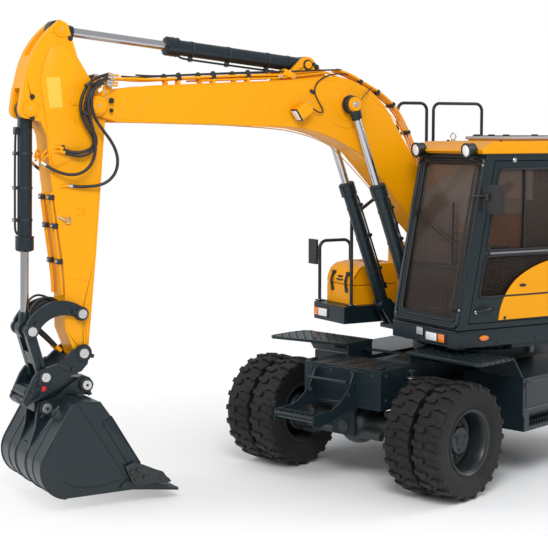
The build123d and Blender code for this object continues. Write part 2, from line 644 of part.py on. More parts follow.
for side in (-1, 1):
    y0, y1 = sorted((side * (boom_half_width - 1), side * (boom_half_width + 12)))
    boom += boom_point_pin(boom_cylinder_mount, y0, y1, 120)
    boom += boom_point_pin((0, 0), y0, y1, 112) - boom_point_pin((0, 0), y0 - 1, y1 + 1, 45 + pin_gap)
upper_parts["boom"] = boom

# ---- work lamp on the left side of the boom, on its bracket, aimed ahead and down
lamp_place = (2580.0, 748.0)
lamp_ahead = (0.55, -0.835)
lamp_y = boom_half_width + 75


def on_lamp(ahead, up):
    return (lamp_place[0] + ahead * lamp_ahead[0] - up * lamp_ahead[1], lamp_place[1] + ahead * lamp_ahead[1] + up * lamp_ahead[0])


boom_lamp = boom_slab(on_lamp(-60, -40), [(on_lamp(60, -40),), (on_lamp(60, 0),), (on_lamp(-60, 0),)], boom_half_width, lamp_y)
boom_lamp += boom_slab(on_lamp(75, -58), [(on_lamp(75, 58),), (on_lamp(-45, 58),), (on_lamp(-75, 0), on_lamp(-45, -58))],
                       lamp_y - 50, lamp_y + 50)
upper_parts["boom_lamp"] = boom_lamp

# ---- hard pipes along the top of the boom
pipe_share = 0.62
pipe_end = tuple(a + pipe_share * (b - a) for a, b in zip(boom_crest, boom_neck))
pipes = None
for y in (-152, -132, 132, 152):
    run = [on_boom(p) for p in ((pipe_end[0], pipe_end[1] + 30), (boom_crest[0], boom_crest[1] + 25), (2440, 1185))]
    line = tube([(x, boom_y + y, z) for x, z in run], 8, 200)
    pipes = line if pipes is None else pipes + line
upper_parts["boom_pipes"] = pipes

# ---- arm
arm_tip = 64.0
arm_steps = [((-690, 365),), ((-600, 455),), ((-430, 570), (-190, 640)), ((-60, 665),), ((70, 675),),
             ((130, 660), (155, 580)), ((175, 480),), ((280, 425),), ((640, 365),), ((arm_length - 655, 192),), ((arm_length - 195, 158),),
             ((arm_length, arm_tip),), ((arm_length + arm_tip, 0), (arm_length, -arm_tip)), ((1265, -85),), ((130, -95),),
             ((0, -120), (-110, -30)), ((-245, 80),), ((-395, 190),), ((-650, 290),)]


def arm_slab(start, steps, y0, y1):
    placed = [tuple(on_arm(point) for point in step) for step in steps]
    return curved_slab(on_arm(start), placed, boom_y + y0, boom_y + y1)


def arm_point_pin(point, y0, y1, radius):
    return cross_pin(on_arm(point), boom_y + y0, boom_y + y1, radius)


eye_half = 55.0
ear_gap = 72.0
arm = arm_slab((-650, 290), arm_steps, -arm_half_width, arm_half_width)
arm -= arm_slab((-800, 100), [((-425, 250),), ((-365, 480),), ((-385, 800),), ((-800, 800),)], -ear_gap, ear_gap)
arm -= arm_slab((-60, 490), [((260, 470),), ((320, 800),), ((-120, 800),)], -ear_gap, ear_gap)
arm -= arm_point_pin((0, 0), -arm_half_width - 1, arm_half_width + 1, 40 + pin_gap)
arm -= arm_point_pin((arm_length, 0), -arm_half_width - 1, arm_half_width + 1, 35 + pin_gap)
arm -= arm_point_pin(guide_pin, -arm_half_width - 1, arm_half_width + 1, 32 + pin_gap)
arm += arm_point_pin(bucket_cylinder_mount, -arm_half_width - 15, arm_half_width + 15, 33)
for y0, y1 in ((-arm_half_width - 15, -ear_gap), (ear_gap, arm_half_width + 15)):
    arm += arm_point_pin(arm_rod_pin, y0, y1, 33)
upper_parts["arm"] = arm


# ---- hydraulic cylinders: a barrel with its eye and gland, and a rod with its eye
def ram(base, tip, y, barrel_radius, barrel_length, rod_radius, rod_length, base_half, base_bore, tip_half):
    span = math.dist(base, tip)
    dx = (tip[0] - base[0]) / span
    dz = (tip[1] - base[1]) / span

    def at(distance):
        return (base[0] + dx * distance, y, base[1] + dz * distance)

    eye = barrel_radius + 10
    barrel = rod(at(eye * 0.5), at(barrel_length - 90), barrel_radius)
    barrel += rod(at(barrel_length - 110), at(barrel_length), barrel_radius + 16)
    barrel -= rod(at(eye + 25), at(barrel_length - 80), barrel_radius - 10)
    barrel -= rod(at(barrel_length - 90), at(barrel_length + 1), rod_radius + 2)
    for y0, y1 in ((y - barrel_radius - 1, y - base_half), (y + base_half, y + barrel_radius + 1)):
        barrel -= cross_pin(base, y0, y1, eye + 10)
    barrel += cross_pin(base, y - base_half, y + base_half, eye)
    barrel -= cross_pin(base, y - base_half - 1, y + base_half + 1, base_bore + pin_gap)
    shaft = rod(at(span - rod_length), at(span - 40), rod_radius)
    shaft += cross_pin(tip, y - tip_half, y + tip_half, rod_radius + 38)
    return barrel, shaft


left_ram = ram(boom_cylinder_foot, on_boom(boom_cylinder_mount), boom_y + boom_cylinder_spread, 63, 1300, 37.5, 1310, 32, 35, 36)
right_ram = ram(boom_cylinder_foot, on_boom(boom_cylinder_mount), boom_y - boom_cylinder_spread, 63, 1300, 37.5, 1310, 32, 35, 36)
upper_parts["boom_cylinder_barrels"] = left_ram[0] + right_ram[0]
upper_parts["boom_cylinder_rods"] = left_ram[1] + right_ram[1]
arm_ram = ram(on_boom(arm_cylinder_mount), on_arm(arm_rod_pin), boom_y, 68, 1400, 40, 1400, ear_gap, 35, eye_half)
upper_parts["arm_cylinder_barrel"] = arm_ram[0]
upper_parts["arm_cylinder_rod"] = arm_ram[1]
bucket_ram = ram(on_arm(bucket_cylinder_mount), on_arm(link_pin), boom_y, 62, 1180, 35, 1230, ear_gap - 6, 33, eye_half)
upper_parts["bucket_cylinder_barrel"] = bucket_ram[0]
upper_parts["bucket_cylinder_rod"] = bucket_ram[1]

# ---- bucket linkage: two guide links outside the arm, and a pair of bucket links inside them
link_inner = arm_half_width + 8
link_outer = link_inner + 35
guides = None
for side in (-1, 1):
    y0, y1 = sorted((side * link_inner, side * link_outer))
    strap = arm_slab((guide_pin[0] + 60, guide_pin[1]),
                     [((guide_pin[0] + 25, guide_pin[1] + 215), (link_pin[0] + 55, link_pin[1] - 45)),
                      ((link_pin[0] - 55, link_pin[1] + 45),),
                      ((guide_pin[0] - 85, guide_pin[1] + 295), (guide_pin[0] - 60, guide_pin[1]))], y0, y1)
    strap += arm_point_pin(guide_pin, y0, y1, 62)
    strap += arm_point_pin(link_pin, y0, y1, 62)
    y0, y1 = sorted((side * link_inner, side * (link_outer + 25)))
    strap += arm_point_pin(link_pin, y0, y1, 32)
    guides = strap if guides is None else guides + strap
guides += arm_point_pin(guide_pin, -link_outer - 25, link_outer + 25, 32)
upper_parts["guide_links"] = guides

link_place = on_arm(link_pin)
coupler_place = on_bucket(coupler_link_pin)
link_length = math.dist(link_place, coupler_place)
link_direction = math.degrees(math.atan2(coupler_place[1] - link_place[1], coupler_place[0] - link_place[0]))


def link_slab(points, y0, y1):
    return slab([turned(link_place, link_direction, point) for point in points], boom_y + y0, boom_y + y1)


link = None
for side in (-1, 1):
    y0, y1 = sorted((side * (eye_half + 12), side * (link_inner - 8)))
    leaf = link_slab([(0, -42), (link_length, -42), (link_length, 42), (0, 42)], y0, y1)
    leaf += cross_pin(link_place, boom_y + y0, boom_y + y1, 52)
    leaf += cross_pin(coupler_place, boom_y + y0, boom_y + y1, 52)
    leaf -= cross_pin(coupler_place, boom_y + y0 - 1, boom_y + y1 + 1, 32 + pin_gap)
    link = leaf if link is None else link + leaf
link += link_slab([(190, -40), (300, -40), (300, 40), (190, 40)], -eye_half - 12, eye_half + 12)
upper_parts["bucket_link"] = link

# ---- quick coupler
coupler_outline = [(15, 74), (-54, -8), (-41, -96), (18, -157), (112, -182), (206, -273), (355, -347), (526, -417),
                   (548, -382), (454, -184), (408, -123), (317, -98), (214, -74), (97, 26)]
hook_outline = [(-90, -230), (60, -212), (130, -200), (420, -375), (425, -480), (345, -490), (290, -410), (200, -322),
                (-20, -332), (-85, -315)]
coupler = None
for side in (-1, 1):
    y0, y1 = sorted((side * link_inner, side * link_outer))
    cheek = slab([on_bucket(p) for p in coupler_outline], boom_y + y0, boom_y + y1)
    y0, y1 = sorted((side * (eye_half + 12), side * (link_outer + 25)))
    cheek += cross_pin(coupler_place, boom_y + y0, boom_y + y1, 32)
    coupler = cheek if coupler is None else coupler + cheek
coupler += cross_pin(arm_end, boom_y - link_outer - 25, boom_y + link_outer + 25, 35)
coupler += slab([on_bucket(p) for p in [(120, -200), (200, -262), (440, -262), (500, -370), (230, -290)]],
                boom_y - link_inner, boom_y + link_inner)
hook = slab([on_bucket(p) for p in hook_outline], boom_y - 105, boom_y + 105)
hook -= cross_pin(on_bucket(bucket_front_pin), boom_y - 106, boom_y + 106, 32 + pin_gap)
hook -= cross_pin(on_bucket(bucket_rear_pin), boom_y - 106, boom_y + 106, 32 + pin_gap)
coupler += hook
upper_parts["quick_coupler"] = coupler

# ---- bucket: a curved shell between two side plates, on two hanger ears, drawn about the pin it hangs from
shell_steps = [((-22, -373),), ((180, -350),), ((241, -379),), ((350, -560), (471, -760)),
               ((480, -1040), (298, -1162)), ((-305, -1162),), ((-448, -1180),), ((-741, -1220),)]
side_steps = [((-113, -502),)] + shell_steps[:6]
body = curved_slab((-379, -941), side_steps, -bucket_half_width, bucket_half_width)
inner_steps = [((-160, -548),), ((-75, -402),), ((165, -376),), ((222, -398),), ((330, -571), (445, -765)),
               ((455, -1022), (292, -1136)), ((-335, -1136),), ((-900, -1136),), ((-900, -560),)]
body -= curved_slab((-405, -950), inner_steps, -bucket_half_width + plate, bucket_half_width - plate)
body += curved_slab((-305, -1162), [((-305, -1132),), ((-448, -1145),), ((-741, -1216),), ((-741, -1222),), ((-448, -1180),)],
                    -bucket_half_width, bucket_half_width)
for side in (-1, 1):
    y0, y1 = sorted((side * bucket_half_width, side * (bucket_half_width + 25)))
    body += curved_slab((-259, -993), [((-367, -945),), ((-583, -1034),), ((-655, -1133),), ((-329, -1133),)], y0, y1)
    y0, y1 = sorted((side * 112, side * 142))
    ear = curved_slab((-95, -281), [((-60, -225), (-6, -200)), ((112, -268),), ((253, -367),), ((402, -396),),
                                    ((429, -614),), ((480, -760),), ((440, -900),), ((380, -760),), ((231, -413),),
                                    ((150, -345),), ((-62, -375),)], y0, y1)
    ear += cross_pin(bucket_front_pin, y0, y1, 68)
    ear += cross_pin(bucket_rear_pin, y0, y1, 68)
    body += ear
for place in (bucket_front_pin, bucket_rear_pin):
    body += cross_pin(place, -190, 190, 32)
upper_parts["bucket"] = Pos(arm_end[0], boom_y, arm_end[1]) * body

os.makedirs("parts", exist_ok=True)
for name, shape in parts.items():
    export_step(shape, "parts/" + name + ".step")
for name, shape in upper_parts.items():
    export_step(Rot(0, 0, slew_angle) * shape, "parts/" + name + ".step")
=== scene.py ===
import bpy
import json
import math
from mathutils import Matrix, Vector


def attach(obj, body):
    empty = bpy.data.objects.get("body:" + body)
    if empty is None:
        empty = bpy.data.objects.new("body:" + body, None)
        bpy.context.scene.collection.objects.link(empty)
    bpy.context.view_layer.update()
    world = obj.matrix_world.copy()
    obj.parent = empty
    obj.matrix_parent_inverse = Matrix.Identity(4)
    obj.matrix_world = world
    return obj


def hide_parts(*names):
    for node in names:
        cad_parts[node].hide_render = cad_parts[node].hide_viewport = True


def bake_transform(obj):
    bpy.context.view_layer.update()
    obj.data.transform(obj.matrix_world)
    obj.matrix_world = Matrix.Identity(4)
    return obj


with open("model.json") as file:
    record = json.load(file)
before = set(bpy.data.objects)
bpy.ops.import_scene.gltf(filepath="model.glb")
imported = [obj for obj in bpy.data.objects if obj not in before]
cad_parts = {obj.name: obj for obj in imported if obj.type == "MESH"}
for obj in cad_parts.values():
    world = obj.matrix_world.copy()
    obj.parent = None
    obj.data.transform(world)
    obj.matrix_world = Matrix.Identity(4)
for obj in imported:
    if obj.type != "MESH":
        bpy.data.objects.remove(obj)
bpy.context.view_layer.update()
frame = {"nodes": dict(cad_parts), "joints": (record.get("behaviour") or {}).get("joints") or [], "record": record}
joints = {joint["name"]: joint for joint in frame["joints"]}
bodyOf = {node: body for body, nodes in frame["record"]["behaviour"]["bodies"].items() for node in nodes}
print("model loaded,", len(bodyOf), "nodes")

# places: the upper works, boom, arm and bucket each have their own directions
upperLeft = -Vector(joints["boom_lift"]["axis"])
boomFoot = Vector(joints["boom_lift"]["pos_m"])
armPivot = Vector(joints["arm_swing"]["pos_m"])
bucketPivot = Vector(joints["bucket_curl"]["pos_m"])


def placeOf(origin, ahead, left):
    ahead = ahead.normalized()
    up = ahead.cross(left).normalized()
    return Matrix.Translation(origin) @ Matrix((ahead, left, up)).transposed().to_4x4()


upperPlace = placeOf(Vector((0, 0, 0)), upperLeft.cross(Vector((0, 0, 1))), upperLeft)
boomPlace = placeOf(boomFoot, armPivot - boomFoot, upperLeft)
armPlace = placeOf(armPivot, bucketPivot - armPivot, upperLeft)
bucketPlace = placeOf(bucketPivot, upperLeft.cross(Vector((0, 0, 1))), upperLeft)
ground = Matrix.Identity(4)


# camera, lamps and sky
camera = {"from": (11.408, 7.908, 3.182), "azimuth": 133.101, "elevation": 5.681, "lens": 89.83}
azimuth = math.radians(camera["azimuth"])
elevation = math.radians(camera["elevation"])
back = Vector((math.sin(azimuth) * math.cos(elevation), -math.cos(azimuth) * math.cos(elevation),
    math.sin(elevation)))
cameraData = bpy.data.cameras.new("viewCamera")
cameraData.lens = camera["lens"]
cameraData.sensor_width = 36
cameraData.clip_end = 200
viewCamera = bpy.data.objects.new("viewCamera", cameraData)
bpy.context.scene.collection.objects.link(viewCamera)
viewCamera.location = camera["from"]
viewCamera.rotation_euler = (-back).to_track_quat("-Z", "Y").to_euler()
bpy.context.scene.camera = viewCamera
bpy.context.scene.view_settings.view_transform = "Standard"

light = {"sky": 0.62, "keyWatts": 900, "fillWatts": 260, "rimWatts": 300}
world = bpy.data.worlds.new("studioSky")
bpy.context.scene.world = world
world.use_nodes = True
sky = world.node_tree
skyOut = sky.nodes["World Output"]
softSky = sky.nodes["Background"]
softSky.inputs["Color"].default_value = (0.93, 0.96, 1.0, 1)
softSky.inputs["Strength"].default_value = light["sky"]
whiteSky = sky.nodes.new("ShaderNodeBackground")
whiteSky.inputs["Color"].default_value = (1, 1, 1, 1)
whiteSky.inputs["Strength"].default_value = 1.0
rays = sky.nodes.new("ShaderNodeLightPath")
seen = sky.nodes.new("ShaderNodeMath")
seen.operation = "MAXIMUM"
sky.links.new(rays.outputs["Is Camera Ray"], seen.inputs[0])
sky.links.new(rays.outputs["Is Transmission Ray"], seen.inputs[1])
pick = sky.nodes.new("ShaderNodeMixShader")
sky.links.new(seen.outputs[0], pick.inputs["Fac"])
sky.links.new(softSky.outputs[0], pick.inputs[1])
sky.links.new(whiteSky.outputs[0], pick.inputs[2])
sky.links.new(pick.outputs[0], skyOut.inputs["Surface"])


def addLamp(name, place, target, size, watts):
    bpy.ops.object.light_add(type="AREA", location=place)
    lamp = bpy.context.object
    lamp.name = name
    lamp.data.shape = "DISK"
    lamp.data.size = size
    lamp.data.energy = watts
    lamp.rotation_euler = (Vector(target) - Vector(place)).to_track_quat("-Z", "Y").to_euler()


addLamp("keyLamp", (9.5, 6.5, 9.0), (0.8, 0, 1.4), 5.0, light["keyWatts"])
addLamp("fillLamp", (9.0, -7.0, 5.0), (1.5, 0, 1.5), 6.0, light["fillWatts"])
addLamp("rimLamp", (-7.0, 5.0, 7.0), (0, 0, 1.6), 5.0, light["rimWatts"])
print("camera and lamps set")


# shading effects that several finishes share
def newGroup(name, inputs, outputs):
    group = bpy.data.node_groups.new(name, "ShaderNodeTree")
    for label, kind, value in inputs:
        socket = group.interface.new_socket(name=label, in_out="INPUT", socket_type=kind)
        if value is not None:
            socket.default_value = value
    for label, kind in outputs:
        group.interface.new_socket(name=label, in_out="OUTPUT", socket_type=kind)
    return group, group.nodes.new("NodeGroupInput"), group.nodes.new("NodeGroupOutput")


def noiseNode(tree, coords, scale, detail=3.0, rough=0.55):
    noise = tree.nodes.new("ShaderNodeTexNoise")
    noise.inputs["Detail"].default_value = detail
    noise.inputs["Roughness"].default_value = rough
    if isinstance(scale, (int, float)):
        noise.inputs["Scale"].default_value = scale
    else:
        tree.links.new(scale, noise.inputs["Scale"])
    tree.links.new(coords, noise.inputs["Vector"])
    return noise


def rampNode(tree, source, low, high, start=0.0, end=1.0):
    ramp = tree.nodes.new("ShaderNodeMapRange")
    ramp.inputs["From Min"].default_value = low
    ramp.inputs["From Max"].default_value = high
    ramp.inputs["To Min"].default_value = start
    ramp.inputs["To Max"].default_value = end
    tree.links.new(source, ramp.inputs["Value"])
    return ramp


def mathNode(tree, operation, first, second):
    node = tree.nodes.new("ShaderNodeMath")
    node.operation = operation
    for socket, value in zip(node.inputs, (first, second)):
        if isinstance(value, (int, float)):
            socket.default_value = value
        else:
            tree.links.new(value, socket)
    return node.outputs[0]


def mixColour(tree, amount, first, second):
    node = tree.nodes.new("ShaderNodeMix")
    node.data_type = "RGBA"
    for socket, value in ((node.inputs[0], amount), (node.inputs[6], first), (node.inputs[7], second)):
        if isinstance(value, (int, float)):
            socket.default_value = value
        elif isinstance(value, (tuple, list)):
            socket.default_value = (*value[:3], 1)
        else:
            tree.links.new(value, socket)
    return node.outputs[2]


def makeWeathering():
    # soft cloudy tone, dust that gathers on faces turned up and near the ground
    group, start, end = newGroup("weathering", [("Color", "NodeSocketColor", (0.5, 0.5, 0.5, 1)),
        ("Dust Color", "NodeSocketColor", (0.35, 0.31, 0.26, 1)), ("Dust", "NodeSocketFloat", 0.1),
        ("Tone", "NodeSocketFloat", 0.06), ("Roughness", "NodeSocketFloat", 0.35)],
        [("Color", "NodeSocketColor"), ("Roughness", "NodeSocketFloat"), ("Dust Mask", "NodeSocketFloat")])
    coords = group.nodes.new("ShaderNodeTexCoord").outputs["Object"]
    cloud = noiseNode(group, coords, 1.7, 4).outputs["Fac"]
    fine = noiseNode(group, coords, 34.0, 5, 0.65).outputs["Fac"]
    shift = mathNode(group, "MULTIPLY", mathNode(group, "SUBTRACT", cloud, 0.5), start.outputs["Tone"])
    tone = group.nodes.new("ShaderNodeHueSaturation")
    group.links.new(mathNode(group, "ADD", 1.0, mathNode(group, "MULTIPLY", shift, 2.0)), tone.inputs["Value"])
    group.links.new(start.outputs["Color"], tone.inputs["Color"])
    normal = group.nodes.new("ShaderNodeSeparateXYZ")
    group.links.new(group.nodes.new("ShaderNodeNewGeometry").outputs["Normal"], normal.inputs[0])
    place = group.nodes.new("ShaderNodeSeparateXYZ")
    group.links.new(coords, place.inputs[0])
    upward = rampNode(group, normal.outputs["Z"], 0.35, 0.95).outputs[0]
    low = rampNode(group, place.outputs["Z"], 0.75, 0.0).outputs[0]
    where = mathNode(group, "MAXIMUM", mathNode(group, "MULTIPLY", upward, 0.6), low)
    speckle = rampNode(group, mathNode(group, "ADD", fine, mathNode(group, "MULTIPLY", cloud, 0.5)), 0.55,
        0.95).outputs[0]
    mask = mathNode(group, "MULTIPLY", mathNode(group, "MULTIPLY", where, speckle), start.outputs["Dust"])
    group.links.new(mask, end.inputs["Dust Mask"])
    group.links.new(mixColour(group, mask, tone.outputs["Color"], start.outputs["Dust Color"]), end.inputs["Color"])
    rough = mathNode(group, "ADD", start.outputs["Roughness"],
        mathNode(group, "ADD", mathNode(group, "MULTIPLY", mask, 0.4),
        mathNode(group, "MULTIPLY", mathNode(group, "SUBTRACT", fine, 0.5), 0.1)))
    group.links.new(rough, end.inputs["Roughness"])
    return group


def makeSkin():
    # fine surface relief: orange peel on paint, pitting on castings, grain on mouldings
    group, start, end = newGroup("surfaceSkin", [("Scale", "NodeSocketFloat", 300.0),
        ("Depth", "NodeSocketFloat", 0.0002), ("Waviness", "NodeSocketFloat", 0.0002)],
        [("Normal", "NodeSocketVector")])
    coords = group.nodes.new("ShaderNodeTexCoord").outputs["Object"]
    grain = noiseNode(group, coords, start.outputs["Scale"], 2).outputs["Fac"]
    wave = noiseNode(group, coords, 9.0, 1).outputs["Fac"]
    height = mathNode(group, "ADD", mathNode(group, "MULTIPLY", grain, start.outputs["Depth"]),
        mathNode(group, "MULTIPLY", wave, start.outputs["Waviness"]))
    bump = group.nodes.new("ShaderNodeBump")
    bump.inputs["Strength"].default_value = 1.0
    bump.inputs["Distance"].default_value = 1.0
    group.links.new(height, bump.inputs["Height"])
    group.links.new(bump.outputs["Normal"], end.inputs["Normal"])
    return group


weathering = makeWeathering()
surfaceSkin = makeSkin()


def finish(name, colour, roughness=0.35, metallic=0.0, coat=0.0, dust=0.1, tone=0.06,
        grain=(300.0, 0.00015, 0.0002), specular=0.5):
    material = bpy.data.materials.new(name)
    material.use_nodes = True
    tree = material.node_tree
    shader = tree.nodes["Principled BSDF"]
    shader.inputs["Metallic"].default_value = metallic
    shader.inputs["Coat Weight"].default_value = coat
    shader.inputs["Coat Roughness"].default_value = 0.08
    shader.inputs["Specular IOR Level"].default_value = specular
    worn = tree.nodes.new("ShaderNodeGroup")
    worn.node_tree = weathering
    worn.inputs["Color"].default_value = (*colour, 1)
    worn.inputs["Dust"].default_value = dust
    worn.inputs["Tone"].default_value = tone
    worn.inputs["Roughness"].default_value = roughness
    skin = tree.nodes.new("ShaderNodeGroup")
    skin.node_tree = surfaceSkin
    skin.inputs["Scale"].default_value = grain[0]
    skin.inputs["Depth"].default_value = grain[1]
    skin.inputs["Waviness"].default_value = grain[2]
    tree.links.new(worn.outputs["Color"], shader.inputs["Base Color"])
    tree.links.new(worn.outputs["Roughness"], shader.inputs["Roughness"])
    tree.links.new(skin.outputs["Normal"], shader.inputs["Normal"])
    return material


yellowPaint = finish("yellowPaint", (0.86, 0.345, 0.0), 0.36, coat=0.1, dust=0.02, tone=0.05, specular=0.22)
darkPaint = finish("darkPaint", (0.0085, 0.0175, 0.022), 0.3, coat=0.05, dust=0.03, specular=0.38)
wheelPaint = finish("wheelPaint", (0.011, 0.016, 0.019), 0.38, dust=0.08)
blackPaint = finish("blackPaint", (0.006, 0.0065, 0.007), 0.5, dust=0.03)
castIron = finish("castIron", (0.014, 0.019, 0.022), 0.5, dust=0.1, grain=(90.0, 0.001, 0.0003))
tyreRubber = finish("tyreRubber", (0.0065, 0.0062, 0.0062), 0.6, dust=0.1, tone=0.12,
    grain=(160.0, 0.0005, 0.0002), specular=0.3)
chromeRod = finish("chromeRod", (0.52, 0.52, 0.53), 0.13, metallic=1.0, dust=0.0, tone=0.02,
    grain=(40.0, 0.00002, 0.00002))
zincPin = finish("zincPin", (0.66, 0.66, 0.64), 0.34, metallic=1.0, dust=0.0, tone=0.05)
brassFitting = finish("brassFitting", (0.72, 0.46, 0.17), 0.33, metallic=1.0, dust=0.0)
greyPaint = finish("greyPaint", (0.42, 0.43, 0.44), 0.45, dust=0.2)
blackPlastic = finish("blackPlastic", (0.014, 0.014, 0.015), 0.45, dust=0.05, grain=(700.0, 0.00012, 0.0))
seatCloth = finish("seatCloth", (0.045, 0.045, 0.048), 0.85, dust=0.0, grain=(900.0, 0.0004, 0.001))
hoseRubber = finish("hoseRubber", (0.016, 0.0125, 0.011), 0.5, dust=0.06, grain=(420.0, 0.0006, 0.0))
blankSticker = finish("blankSticker", (0.92, 0.48, 0.045), 0.5, dust=0.0)
redPlastic = finish("redPlastic", (0.7, 0.01, 0.01), 0.35, dust=0.0)
steelPlate = finish("steelPlate", (0.3, 0.31, 0.32), 0.4, metallic=1.0, dust=0.1)


# painted shade on the glass: its colour and gloss, the heights where it starts and where it is full, and the share
# it keeps at the foot
glassShade = {"colour": (0.14, 0.107, 0.089), "roughness": 0.08, "foot": 1.75, "head": 2.7, "thin": 0.3}


def glassFinish(name, colour, roughness=0.02, cabShade=0.0):
    material = bpy.data.materials.new(name)
    material.use_nodes = True
    tree = material.node_tree
    shader = tree.nodes["Principled BSDF"]
    shader.inputs["Transmission Weight"].default_value = 1.0
    shader.inputs["IOR"].default_value = 1.15
    shader.inputs["Roughness"].default_value = roughness
    coords = tree.nodes.new("ShaderNodeTexCoord").outputs["Object"]
    cloud = noiseNode(tree, coords, 2.2, 3).outputs["Fac"]
    tint = mixColour(tree, rampNode(tree, cloud, 0.3, 0.7).outputs[0], colour,
        tuple(0.86 * part for part in colour))
    tree.links.new(tint, shader.inputs["Base Color"])
    if cabShade:
        # painted shade: a dark glossy layer over the pane that grows heavier towards its head
        shadeLayer = tree.nodes.new("ShaderNodeBsdfPrincipled")
        shadeLayer.inputs["Base Color"].default_value = (*glassShade["colour"], 1)
        shadeLayer.inputs["Roughness"].default_value = glassShade["roughness"]
        height = tree.nodes.new("ShaderNodeSeparateXYZ")
        tree.links.new(coords, height.inputs["Vector"])
        # how much painted shade lies over the pane at each height, from its share at the foot to full at the head
        thickness = rampNode(tree, height.outputs["Z"], glassShade["foot"], glassShade["head"],
            glassShade["thin"] * cabShade, cabShade)
        mixer = tree.nodes.new("ShaderNodeMixShader")
        tree.links.new(thickness.outputs["Result"], mixer.inputs["Fac"])
        tree.links.new(shader.outputs["BSDF"], mixer.inputs[1])
        tree.links.new(shadeLayer.outputs["BSDF"], mixer.inputs[2])
        tree.links.new(mixer.outputs["Shader"], tree.nodes["Material Output"].inputs["Surface"])
    return material


# painted shade on the panes, stronger on the cab's glass than on the door's
tintedGlass = glassFinish("tintedGlass", (0.6, 0.5, 0.44), cabShade=0.46)
doorGlass = glassFinish("doorGlass", (0.46, 0.38, 0.33), cabShade=0.26)
lampLens = finish("lampLens", (0.82, 0.83, 0.82), 0.12, coat=0.6, dust=0.0)
amberLens = finish("amberLens", (0.92, 0.22, 0.012), 0.18, coat=0.6, dust=0.0)
redLens = finish("redLens", (0.55, 0.008, 0.006), 0.18, coat=0.6, dust=0.0)
print("finishes made")


# modelling helpers
def letGo():
    if bpy.context.object and bpy.context.object.mode != "OBJECT":
        bpy.ops.object.mode_set(mode="OBJECT")
    bpy.ops.object.select_all(action="DESELECT")


def takeUp(piece):
    letGo()
    piece.select_set(True)
    bpy.context.view_layer.objects.active = piece


def applyAll(piece):
    takeUp(piece)
    for modifier in list(piece.modifiers):
        bpy.ops.object.modifier_apply(modifier=modifier.name)


def bevelled(piece, width, segments=2, angle=35):
    bevel = piece.modifiers.new("roundedEdges", "BEVEL")
    bevel.width = width
    bevel.segments = segments
    bevel.limit_method = "ANGLE"
    bevel.angle_limit = math.radians(angle)
    bevel.use_clamp_overlap = False
    applyAll(piece)


def stand(piece, place):
    # move a piece's mesh to its place, which may mirror it
    piece.data.transform(place @ piece.matrix_basis)
    piece.matrix_basis = Matrix.Identity(4)
    if place.determinant() < 0:
        piece.data.flip_normals()


def dress(piece, name, material, smooth):
    piece.name = name
    piece.data.name = name
    piece.data.materials.clear()
    piece.data.materials.append(material)
    takeUp(piece)
    bpy.ops.object.shade_smooth_by_angle(angle=math.radians(smooth))


def settle(piece, name, place, material, body, smooth=35):
    # move a finished piece to its place, then let it ride on its body
    stand(piece, place)
    dress(piece, name, material, smooth)
    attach(piece, body)
    letGo()
    return piece


def evened(piece):
    # large flat faces keep their own direction, and the rounded edges take up the turn
    even = piece.modifiers.new("evenNormals", "WEIGHTED_NORMAL")
    even.keep_sharp = True
    even.weight = 50
    applyAll(piece)


def arcThrough(first, middle, last, count):
    # points along the arc through three (x, z) places
    (ax, az), (bx, bz), (cx, cz) = first, middle, last
    twice = 2 * (ax * (bz - cz) + bx * (cz - az) + cx * (az - bz))
    x = ((ax * ax + az * az) * (bz - cz) + (bx * bx + bz * bz) * (cz - az) + (cx * cx + cz * cz) * (az - bz)) / twice
    z = ((ax * ax + az * az) * (cx - bx) + (bx * bx + bz * bz) * (ax - cx) + (cx * cx + cz * cz) * (bx - ax)) / twice
    radius = math.hypot(ax - x, az - z)
    start, end = math.atan2(az - z, ax - x), math.atan2(cz - z, cx - x)
    if abs(end - start) > math.pi:
        end += math.tau if end < start else -math.tau
    turns = [start + (end - start) * number / (count - 1) for number in range(count)]
    return [(x + radius * math.cos(turn), z + radius * math.sin(turn)) for turn in turns]


def joined(pieces):
    letGo()
    for piece in pieces:
        piece.select_set(True)
    bpy.context.view_layer.objects.active = pieces[0]
    if len(pieces) > 1:
        bpy.ops.object.join()
    return bpy.context.object


def copied(piece, place):
    twin = piece.copy()
    twin.data = piece.data.copy()
    bpy.context.scene.collection.objects.link(twin)
    twin.data.transform(place)
    if place.determinant() < 0:
        twin.data.flip_normals()
    return twin


def plateFrom(outline, low, high, bevel=0.0, segments=2, along="Y"):
    # an outline of (x, z) points given a thickness along Y, or of (x, y) points along Z
    letGo()
    bpy.ops.mesh.primitive_circle_add(vertices=len(outline), radius=1, fill_type="NGON")
    piece = bpy.context.object
    for vertex, (first, second) in zip(piece.data.vertices, outline):
        vertex.co = (first, low, second) if along == "Y" else (first, second, low) if along == "Z" else (low,
            first, second)
    bpy.ops.object.mode_set(mode="EDIT")
    bpy.ops.mesh.select_all(action="SELECT")
    shift = {"X": (high - low, 0, 0), "Y": (0, high - low, 0), "Z": (0, 0, high - low)}[along]
    bpy.ops.mesh.extrude_region_move(TRANSFORM_OT_translate={"value": shift})
    bpy.ops.mesh.select_all(action="SELECT")
    bpy.ops.mesh.normals_make_consistent(inside=False)
    bpy.ops.object.mode_set(mode="OBJECT")
    if bevel:
        bevelled(piece, bevel, segments)
    return piece


def block(low, high, bevel=0.003, segments=2):
    letGo()
    middle = (Vector(low) + Vector(high)) / 2
    bpy.ops.mesh.primitive_cube_add(size=1, location=middle)
    piece = bpy.context.object
    piece.scale = Vector(high) - Vector(low)
    bpy.ops.object.transform_apply(location=True, rotation=False, scale=True)
    if bevel:
        bevelled(piece, bevel, segments)
    return piece


